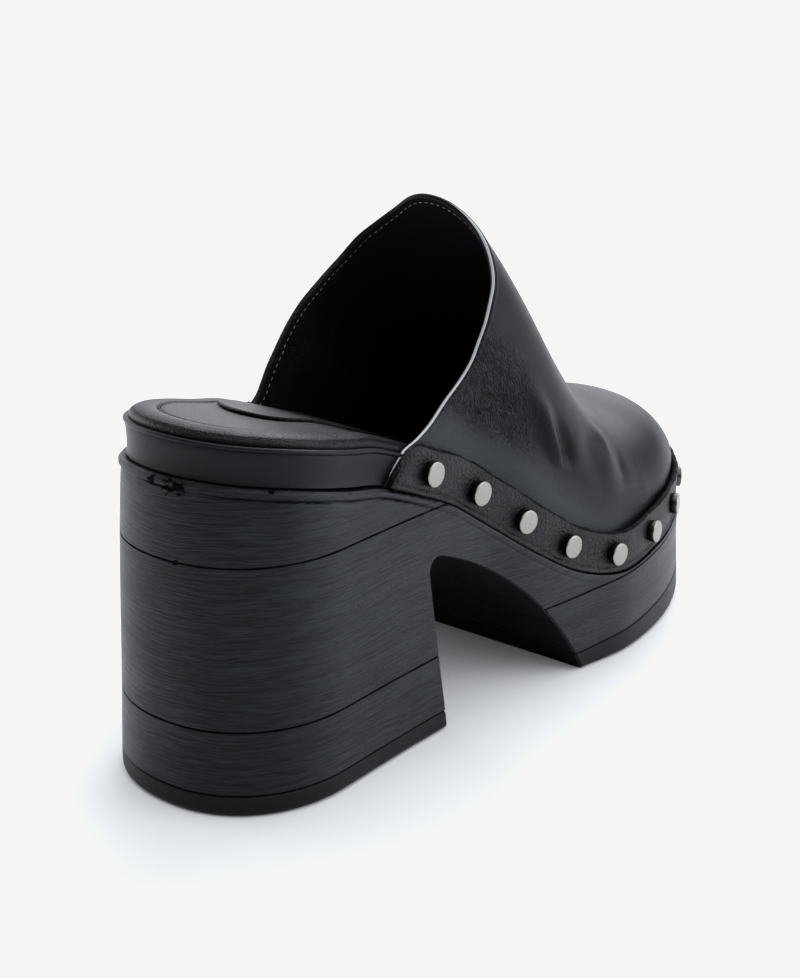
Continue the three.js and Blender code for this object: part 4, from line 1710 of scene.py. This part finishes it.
@dataclass
class Upper:
    """The vamp: one wall with a folded topline, creases given one by one, and its lining."""

    wall: float = 1.8
    rows: int = 150
    columns: int = 300
    rim_steps: int = 8
    stitch_inset: float = 1.9
    # Radius of the light grey tube that paints the topline's highlight.
    highlight_radius: float = 0.42
    wrap_radius: float = 48
    edge_bead: float = 0.25
    bead_width: float = 1.3
    near_rows: tuple[float, ...] = (0, 0.2, 0.4, 0.6, 0.8, 1.0, 1.2, 1.4, 1.7, 2.1, 2.6, 3.2, 4.0)
    creases: tuple[Crease, ...] = (
        Crease(((0.524, 0.48), (0.54, 0.46), (0.554, 0.43), (0.556, 0.4), (0.553, 0.36)), 2.0, 2.4),
        Crease(((0.478, 0.5), (0.499, 0.47), (0.518, 0.44), (0.54, 0.41), (0.553, 0.37)), -2.0, 3.0),
        Crease(((0.44, 0.36), (0.489, 0.36), (0.52, 0.35), (0.548, 0.32)), 1.2, 6.0),
        Crease(((0.3, 0.3), (0.4, 0.33), (0.53, 0.35), (0.6, 0.38), (0.68, 0.4), (0.74, 0.4)), 2.3, 10.0),
        Crease(((0.7, 0.86), (0.655, 0.7), (0.65, 0.6), (0.656, 0.5)), -0.85, 4.4),
        Crease(((0.7, 0.74), (0.69, 0.65), (0.687, 0.58), (0.684, 0.5)), 0.75, 2.8),
        Crease(((0.6, 0.62), (0.612, 0.56), (0.63, 0.46)), 1.1, 5.0),
        Crease(((0.79, 0.98), (0.767, 0.96), (0.738, 0.9)), -0.4, 2.8),
        Crease(((0.81, 0.985), (0.79, 0.975), (0.765, 0.93)), 0.35, 2.2),
        Crease(((0.53, 0.5), (0.56, 0.46), (0.575, 0.38)), 1.4, 3.4, 0.6, 1.0),
        Crease(((0.7, 0.8), (0.68, 0.66), (0.68, 0.45)), 1.3, 3.2, -0.7, 1.0),
        Crease(((0.3, 0.3), (0.4, 0.33), (0.53, 0.35), (0.65, 0.39), (0.74, 0.4)), 1.8, 10.0, 0.0, 1.0),
    )

    def places(self) -> tuple[Array, Array]:
        """Length and angle of each point: columns run from the collar's edge to the toe's tip.

        The collar is found by halving: along each column, the form crosses the collar once.

        Returns:
            x and angle, as rows by columns.
        """
        angle = np.linspace(0, np.pi, self.columns)
        tip = LAST.form_tip(0)
        low = np.full(self.columns, RIDGE["along"][0] * LAST.sole_length)
        high = np.full(self.columns, tip - 20)
        for _ in range(40):
            middle = (low + high) / 2
            point = LAST.form_point(middle, angle, 0)
            behind = point[:, 0] < LAST.collar(point[:, 1], point[:, 2])
            low, high = np.where(behind, middle, low), np.where(behind, high, middle)
        near = np.array(self.near_rows)[:, None]
        share = np.sin(np.linspace(0, np.pi / 2, self.rows - len(near)))[:, None]
        step_on = near[-1] + 0.9
        x = np.concatenate([high + near, high + step_on + (tip - high - step_on) * share])
        return x, angle + 0 * x

    def surface(self) -> tuple[Array, Array, Array]:
        """The outer surface with its creases.

        Returns:
            Points, normals and length from the collar's edge.
        """
        x, angle = self.places()
        points = LAST.form_point(x, angle, 0)
        normal = self.normals(points)
        run = run_length(points)
        rise = sum(crease.height(points, normal) for crease in self.creases)
        rise = rise * step(2, 14, run)
        rise = rise + self.edge_bead * np.sin(np.pi * np.clip(run / self.bead_width, 0, 1)) ** 2
        points = points + rise[..., None] * normal
        return points, self.normals(points), run

    @staticmethod
    def normals(points: Array) -> Array:
        """Outward normals of the surface, from the cross product of its two slopes.

        Args:
            points: points of the surface, as rows by columns.

        Returns:
            Normals of length 1, which at the toe's tip all point forward.
        """
        down = np.gradient(points, axis=0)
        over = np.gradient(points, axis=1)
        normal = unit(np.cross(over, down))
        flip = np.sign(np.sum(normal * np.array([0.0, 0.0, 1.0]), axis=-1).mean())
        normal = normal * flip
        normal[-1] = np.array([1.0, 0.0, 0.0])
        return normal

    def build(self, palette: Palette) -> None:
        """Makes the wall with its lining side, the topline's stitches, and a light grey tube that paints a
        highlight along the topline's edge.

        Args:
            palette: the materials.
        """
        points, normal, run = self.surface()
        edge, edge_normal = points[0], normal[0]
        back = unit(points[0] - points[1])
        back = unit(back - np.sum(back * edge_normal, axis=-1, keepdims=True) * edge_normal)
        half = self.wall / 2
        centre = edge - half * edge_normal
        turn = np.linspace(0, np.pi, self.rim_steps + 2)[1:-1][:, None, None]
        rim = centre + half * (np.cos(turn) * edge_normal + np.sin(turn) * back)
        inner = points - self.wall * normal
        piece = sheet("upper_shell", np.concatenate([points[::-1], rim, inner]), 60)
        self.paint(piece)
        dress(piece, palette.get(Finish.VAMP), "smooth_leather", "upper")
        self.stitches(inner, normal, run, palette)
        # Painted highlight: a light grey tube along the rim's outer corner stands for the glint on the folded
        # edge.
        corner = centre + 0.62 * half * (edge_normal + back)
        highlight_tube = self.tube("topline_painted_highlight", corner, edge_normal, back)
        dress(highlight_tube, palette.get(Finish.TOPLINE_HIGHLIGHT), "smooth_leather")

    def tube(self, name: str, path: Array, first: Array, second: Array) -> bpy.types.Object:
        """A thin round tube along a path for a painted highlight, which tapers to its ends and is finer at
        first.

        Args:
            name: the piece's name.
            path: points along the tube's middle.
            first: a direction square to the path, at each point.
            second: the direction square to both.

        Returns:
            The piece.
        """
        turn = turns(10) * np.pi
        share = np.linspace(0, 1, len(path))
        # Finer on the first part of the collar and full on its outer side, where the painted highlight shows.
        taper = self.highlight_radius * (0.25 + 0.75 * step(0.56, 0.68, share))
        taper = taper * np.minimum(1, 60 * np.minimum(share, 1 - share))
        spoke = np.cos(turn)[:, None] * first[:, None] + np.sin(turn)[:, None] * second[:, None]
        return layer(name, path[:, None] + taper[:, None, None] * spoke, 80)

    def paint(self, piece: bpy.types.Object) -> None:
        """Writes the upper's masks, and a UV map whose axes run along and round the foot.

        Cracked holds the net of cracks, drawn the break lines, lining the inner face, which
        looks towards the foot's middle, and the fourth mask a paler colour low on the outer sides.

        Args:
            piece: the upper.
        """
        mesh = piece.data
        x, y, z = stations(mesh)
        height = z - LAST.block_top(x)
        up = height / np.maximum(LAST.form_height(x, 0), 1)
        along = x / LAST.sole_length
        band = step(0.24, 0.36, up) * step(0.64, 0.46, up)
        cracked = band * step(0.52, 0.44, along) + 0.05
        drawn = step(0.45, 0.62, up) * step(0.66, 0.54, along) + 0.06
        flex = step(0.5, 0.56, along) * step(0.78, 0.7, along) * step(0.3, 0.45, up)
        facing = np.empty(len(mesh.vertices) * 3, np.float32)
        mesh.vertex_normals.foreach_get("vector", facing)
        middle = np.stack([np.minimum(x, 0.7 * LAST.sole_length), 0 * y, z - 0.6 * height], axis=-1)
        inside = np.sum((np.stack([x, y, z], axis=-1) - middle) * facing.reshape(-1, 3), axis=-1) < 0
        masks = {"cracked": cracked, "drawn": drawn + 0.35 * flex, "lining": inside}
        # Paler colour low on the outer sides, away from the toe.
        masks["low_side_pale"] = step(0.36, 0.16, up) * step(0.05, 0.2, up) * step(0.9, 0.75, along) * (1 - inside)
        for name, mask in masks.items():
            write_mask(mesh, name, mask)
        flow = mesh.uv_layers.new(name="flow")
        loops = np.empty(len(mesh.loops), np.int32)
        mesh.loops.foreach_get("vertex_index", loops)
        around = self.wrap_radius * np.arctan2(y, np.maximum(height, 1))
        uv = np.stack([x, around], axis=-1) * MM
        flow.data.foreach_set("uv", uv[loops].astype(np.float32).ravel())

    def stitches(self, inner: Array, normal: Array, run: Array, palette: Palette) -> None:
        """Sews the topline on its lining side, a fixed distance from the edge.

        Args:
            inner: points of the lining side, as rows by columns.
            normal: the outer side's normals.
            run: length from the collar's edge.
            palette: the materials.
        """
        row = np.array([np.searchsorted(run[:, c], self.stitch_inset) for c in range(self.columns)])
        keep = slice(6, self.columns - 6)
        column = np.arange(self.columns)[keep]
        path, facing = inner[row[keep], column], -normal[row[keep], column]
        piece = Stitching(2.1, 0.72, 0.22).make("topline_stitches", path, facing)
        dress(piece, palette.get(Finish.THREAD), "smooth_leather")


@dataclass
class Rand:
    """The leather strip round the foot of the upper, with its studs."""

    thickness: float = 2.0
    columns: int = 700
    bead: float = 0.3
    stud_diameter: float = 7.2
    stud_height: float = 1.8
    dimple_depth: float = 0.5
    dimple_width: float = 6.5
    turned_edge: float = 0.3
    stitch_inset: float = 3.0
    puckers: tuple[tuple[float, float], ...] = ((0.08, 4.3), (0.06, 2.3), (0.05, 1.1))

    def contour(self, share: float, out: float) -> Array:
        """One line along the rand, from its outer rear edge round the toe to its inner one.

        The form is cut at a share of the rand's height: at each length the section's angle
        comes from the height, and the length ends where the form is no higher than the cut.

        Args:
            share: 0 at the rand's foot, 1 at its top.
            out: distance from the upper's form.

        Returns:
            Points spaced evenly along the line.
        """
        rise_at = lambda x: LAST.gap + share * (LAST.rand_rise(x) - LAST.gap)
        low, high = LAST.toe_centre, LAST.form_tip(out)
        for _ in range(40):
            middle = (low + high) / 2
            inside = LAST.form_height(np.array(middle), out) > rise_at(np.array(middle))
            low, high = (middle, high) if inside else (low, middle)
        rear = 0.2 * LAST.sole_length
        x = rear + (low - rear) * np.sin(np.linspace(0, np.pi / 2, 1500))
        rise = rise_at(x)
        up = np.clip(rise / np.maximum(LAST.form_height(x, out), 1e-6), 0, 1) ** (LAST.crown_fullness / 2)
        lines = []
        for side in (-1.0, 1.0):
            centre, reach, fullness = LAST.section(x, np.array(side), out)
            y = centre + side * reach * np.maximum(1 - up**2, 0) ** (1 / fullness)
            z = LAST.block_top(x) + rise
            lines.append(np.stack([x - LAST.tuck(x, rise), y, z], axis=-1))
        whole = np.concatenate([lines[0], lines[1][::-1][1:]])
        ahead = whole[:, 0] - LAST.collar(whole[:, 1], whole[:, 2])
        length = run_length(whole)
        half = len(whole) // 2
        start = np.interp(0, ahead[:half], length[:half])
        end = np.interp(0, ahead[half:][::-1], length[half:][::-1])
        at = np.linspace(start, end, self.columns)
        return read_path(whole, length, at)

    @staticmethod
    def studs() -> dict[str, tuple[Array, Array]]:
        """Reads the frame's own studs: a stud's axis is the direction in which it spreads least.

        Returns:
            The middle and the outward direction of each stud, by its node's name.
        """
        found = {}
        for name in sorted(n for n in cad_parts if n.startswith("stud_")):
            co = stations(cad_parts[name].data).T
            middle = (co.min(axis=0) + co.max(axis=0)) / 2
            axis = np.linalg.svd(co - co.mean(axis=0))[2][2]
            away = middle - np.array([min(middle[0], 0.62 * LAST.sole_length), 0, middle[2]])
            found[name] = (middle, axis * np.sign(axis @ away))
        return found

    def strip(self) -> tuple[bpy.types.Object, list[bpy.types.Object]]:
        """The strip: its section runs up the outer face, round the top edge and down inside.

        Each stud sinks into the face by a flat-bottomed bell. Near its two ends, the edge is
        turned by a bell and dips at the seam, and sines along the top pucker it a little.

        Returns:
            The piece, and the stitches at its two ends.
        """
        full = LAST.gap + self.thickness
        corner = [np.radians(a) for a in (0, 25, 50, 70, 90)]
        section: list[tuple[float, float]] = []
        for share in np.linspace(0, 1, 5):
            angle = np.pi * share
            section.append((0.1 * share, full + self.bead * np.sin(angle)))
        section.append((0.13, full - 0.25))
        section += [(share, full) for share in np.linspace(0.17, 0.94, 18)]
        section += [(0.96 + 0.04 * np.sin(a), full - 0.6 * (1 - np.cos(a))) for a in corner]
        face_count = len(section)
        section += [(0.985, LAST.gap + 0.6), (0.93, LAST.gap - 0.15)]
        section += [(share, LAST.gap - 0.15) for share in (0.66, 0.33, 0.0)]
        points = np.array([self.contour(share, out) for share, out in section])
        for middle, outward in self.studs().values():
            away = np.linalg.norm(points[:face_count] - middle, axis=-1)
            dip = self.dimple_depth * np.exp(-((away / self.dimple_width) ** 4))
            points[:face_count] -= dip[..., None] * outward
        face = points[:face_count]
        normal = unit(np.cross(np.gradient(face, axis=1), np.gradient(face, axis=0)))
        normal *= np.sign(np.sum(normal * (face - face.mean(axis=(0, 1))), axis=-1).mean())
        length = run_length(face[8])
        end = np.minimum(length, length[-1] - length)
        seam = np.exp(-(((end - 3.2) / 0.5) ** 2))
        turned = self.turned_edge * (np.exp(-(((end - 1.4) / 1.1) ** 2)) - 0.6 * seam)
        pucker = sum(size * np.sin(length / pitch + k) for k, (size, pitch) in enumerate(self.puckers))
        turned = turned - 1.3 * np.exp(-((end / 0.7) ** 2))
        rise = 0.6 * turned + pucker * step(0.55, 1.0, np.linspace(0, 1, face_count))[:, None]
        points[:face_count] += rise[..., None] * normal
        points[face_count - 5 :, :, 2] += pucker
        across = np.swapaxes(points, 0, 1)
        start = across[:1].mean(axis=1, keepdims=True) + 0 * across[:1]
        end = across[-1:].mean(axis=1, keepdims=True) + 0 * across[-1:]
        sewn = []
        rows = slice(6, face_count - 5)
        for at in (self.stitch_inset, length[-1] - self.stitch_inset):
            column = np.searchsorted(length, at)
            facing = normal[rows, column]
            path = face[rows, column] + rise[rows, column, None] * facing
            sewn.append(Stitching(1.9, 0.72, 0.2).make("rand_stitches", path, facing))
        return layer("rand_strip", np.concatenate([start, across, end]), 50), sewn

    @staticmethod
    def paint(piece: bpy.types.Object) -> None:
        """Writes the edge mask on the strip's raw edges, which mirror less than its face.

        Args:
            piece: the strip.
        """
        x, _, z = stations(piece.data)
        share = (z - LAST.block_top(x)) / LAST.rand_rise(x)
        write_mask(piece.data, "edge", step(0.945, 0.962, share) + step(0.06, 0.02, share))

    def stud_mesh(self) -> Array:
        """Half section of a stud: out and up, with a soft edge and a barely domed face.

        Returns:
            Radius and height of each point.
        """
        radius, high = self.stud_diameter / 2, self.stud_height
        soft = 0.35
        corner = np.radians(np.linspace(0, 90, 7))
        rows = [(0.0, -0.9), (0.9 * radius, -0.9), (radius - 0.1, -0.3), (radius, 0.1)]
        rows += [(radius - soft + soft * np.cos(a), high - soft + soft * np.sin(a)) for a in corner]
        rows += [(share * (radius - soft), high + 0.12 * (1 - share**2)) for share in (0.66, 0.33, 0.0)]
        return np.array(rows)

    def build(self, palette: Palette) -> None:
        """Makes the strip with its stitches, and the studs.

        Args:
            palette: the materials.
        """
        piece, sewn = self.strip()
        self.paint(piece)
        for stitches in sewn:
            dress(stitches, palette.get(Finish.DARK_THREAD), "rand_leather")
        dress(piece, palette.get(Finish.RAND), "rand_leather", "rand")
        profile = self.stud_mesh()
        turn = turns(40) * np.pi
        for name, (middle, outward) in self.studs().items():
            side = unit(np.cross(outward, np.array([0.0, 0.0, 1.0])))
            up = np.cross(side, outward)
            spoke = np.cos(turn)[:, None] * side + np.sin(turn)[:, None] * up
            base = middle - outward * self.stud_height / 2
            points = base + profile[:, 0, None, None] * spoke + profile[:, 1, None, None] * outward
            stud = layer(name + "_cap", points, 50)
            rise = (stations(stud.data).T - base) @ outward
            # Edge mask on the stud's side wall, where the nickel's colour paints shade.
            write_mask(stud.data, "edge", rise < self.stud_height - 0.3)
            dress(stud, palette.get(Finish.NICKEL), "nickel", name)


@dataclass(frozen=True)
class SoftBox:
    """A soft disc of light in the surround: its direction, its half angles and its strength."""

    direction: tuple[float, float, float]
    inner: float
    outer: float
    strength: float


@dataclass
class Studio:
    """Pale floor, soft lights and the camera at the photograph's angle."""

    ambient: float = 0.28
    tint: Colour = (0.95, 0.98, 1.025)
    boxes: tuple[SoftBox, ...] = (
        SoftBox((0.82, 0.57, 0.08), 15, 62, 0.62),
        SoftBox((0.74, 0.27, 0.62), 12, 34, 3.4),
        SoftBox((0.1, -0.2, 1.0), 15, 62, 1.6),
        SoftBox((-0.17, 0.97, 0.14), 12, 38, 2.6),
        SoftBox((0.56, -0.8, 0.2), 9, 30, 3.7),
    )
    tones: tuple[tuple[float, float], ...] = (
        (0, 0),
        (0.012, 0.0062),
        (0.03, 0.0205),
        (0.09, 0.082),
        (0.4, 0.385),
        (1, 0.913),
    )
    floor_colour: Colour = (0.88, 0.88, 0.88)
    floor_reach: float = 6.0
    floor_drop: float = 0.0001
    camera_place: tuple[float, float, float] = (-263.72, -273.22, 222.86)
    right: tuple[float, float, float] = (0.60400112, -0.79681226, 0.01651895)
    down: tuple[float, float, float] = (-0.25920148, -0.21599602, -0.94136088)
    forward: tuple[float, float, float] = (0.75365592, 0.56430129, -0.33699675)
    focal_pixels: float = 1611.42
    picture_height: float = 978
    sensor: float = 36

    def floor(self) -> None:
        """A large pale floor just under the soles."""
        mesh = bpy.data.meshes.new("floor")
        corners = np.array([(-1, -1), (1, -1), (1, 1), (-1, 1)]) * self.floor_reach
        mesh.from_pydata([(x, y, -self.floor_drop) for x, y in corners], [], [(0, 1, 2, 3)])
        piece = bpy.data.objects.new("floor", mesh)
        bpy.context.scene.collection.objects.link(piece)
        surface = Surface("pale_floor")
        surface.give("Base Color", shade(self.floor_colour))
        surface.give("Roughness", 0.6)
        surface.give("Specular IOR Level", 0.2)
        mesh.materials.append(surface.material)

    def world(self) -> None:
        """An even surround, dark behind the camera and pale beyond, with soft boxes in it.

        Each box is a disc of directions with a soft edge, so that it lights the whole floor alike.
        """
        world = bpy.data.worlds.new("surround")
        world.use_nodes = True
        maker = Sockets(world.node_tree)
        direction = maker.add("TexCoord").outputs["Generated"]
        total = self.ambient
        for box in self.boxes:
            total = maker.plus(total, maker.glow(direction, box))
        background = world.node_tree.nodes["Background"]
        maker.feed(background.inputs["Color"], shade(self.tint))
        maker.feed(background.inputs["Strength"], total)
        bpy.context.scene.world = world

    def camera(self) -> None:
        """The camera: place and axes fitted to the photograph, with its focal length."""
        data = bpy.data.cameras.new("camera")
        data.sensor_width = self.sensor
        data.lens = self.focal_pixels * self.sensor / self.picture_height
        data.clip_start, data.clip_end = 0.01, 50
        holder = bpy.data.objects.new("camera", data)
        right, up = Vector(self.right), -Vector(self.down)
        axes = Matrix((right, up, -Vector(self.forward))).transposed().to_4x4()
        place = (Vector(self.camera_place) - Vector((LAST.heel_centre, 0, 0))) * MM
        holder.matrix_world = Matrix.Translation(place) @ axes
        bpy.context.scene.collection.objects.link(holder)
        bpy.context.scene.camera = holder

    def grade(self) -> None:
        """The picture's tones: whites held just under full and deeper blacks."""
        view = bpy.context.scene.view_settings
        view.view_transform = "Standard"
        view.use_curve_mapping = True
        view.curve_mapping.extend = "HORIZONTAL"
        points = view.curve_mapping.curves[3].points
        points[0].location, points[1].location = self.tones[0], self.tones[-1]
        for place in self.tones[1:-1]:
            points.new(*place)
        view.curve_mapping.update()

    def build(self) -> None:
        """Sets the stage."""
        self.camera()
        self.floor()
        self.world()
        self.grade()


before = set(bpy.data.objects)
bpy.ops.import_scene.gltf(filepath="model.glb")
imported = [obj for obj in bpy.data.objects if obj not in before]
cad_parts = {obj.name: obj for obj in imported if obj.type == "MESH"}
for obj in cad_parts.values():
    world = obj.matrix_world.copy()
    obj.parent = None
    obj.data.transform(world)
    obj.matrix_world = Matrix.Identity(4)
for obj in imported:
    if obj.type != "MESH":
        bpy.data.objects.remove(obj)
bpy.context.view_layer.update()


def main() -> None:
    """Builds the shoe and the stage."""
    logging.basicConfig(level=logging.INFO, format="%(name)s %(message)s")
    Studio().build()
    palette = Palette()
    Sole().build(palette)
    Footbed().build(palette)
    Upper().build(palette)
    Rand().build(palette)


if __name__ == "__main__":
    main()
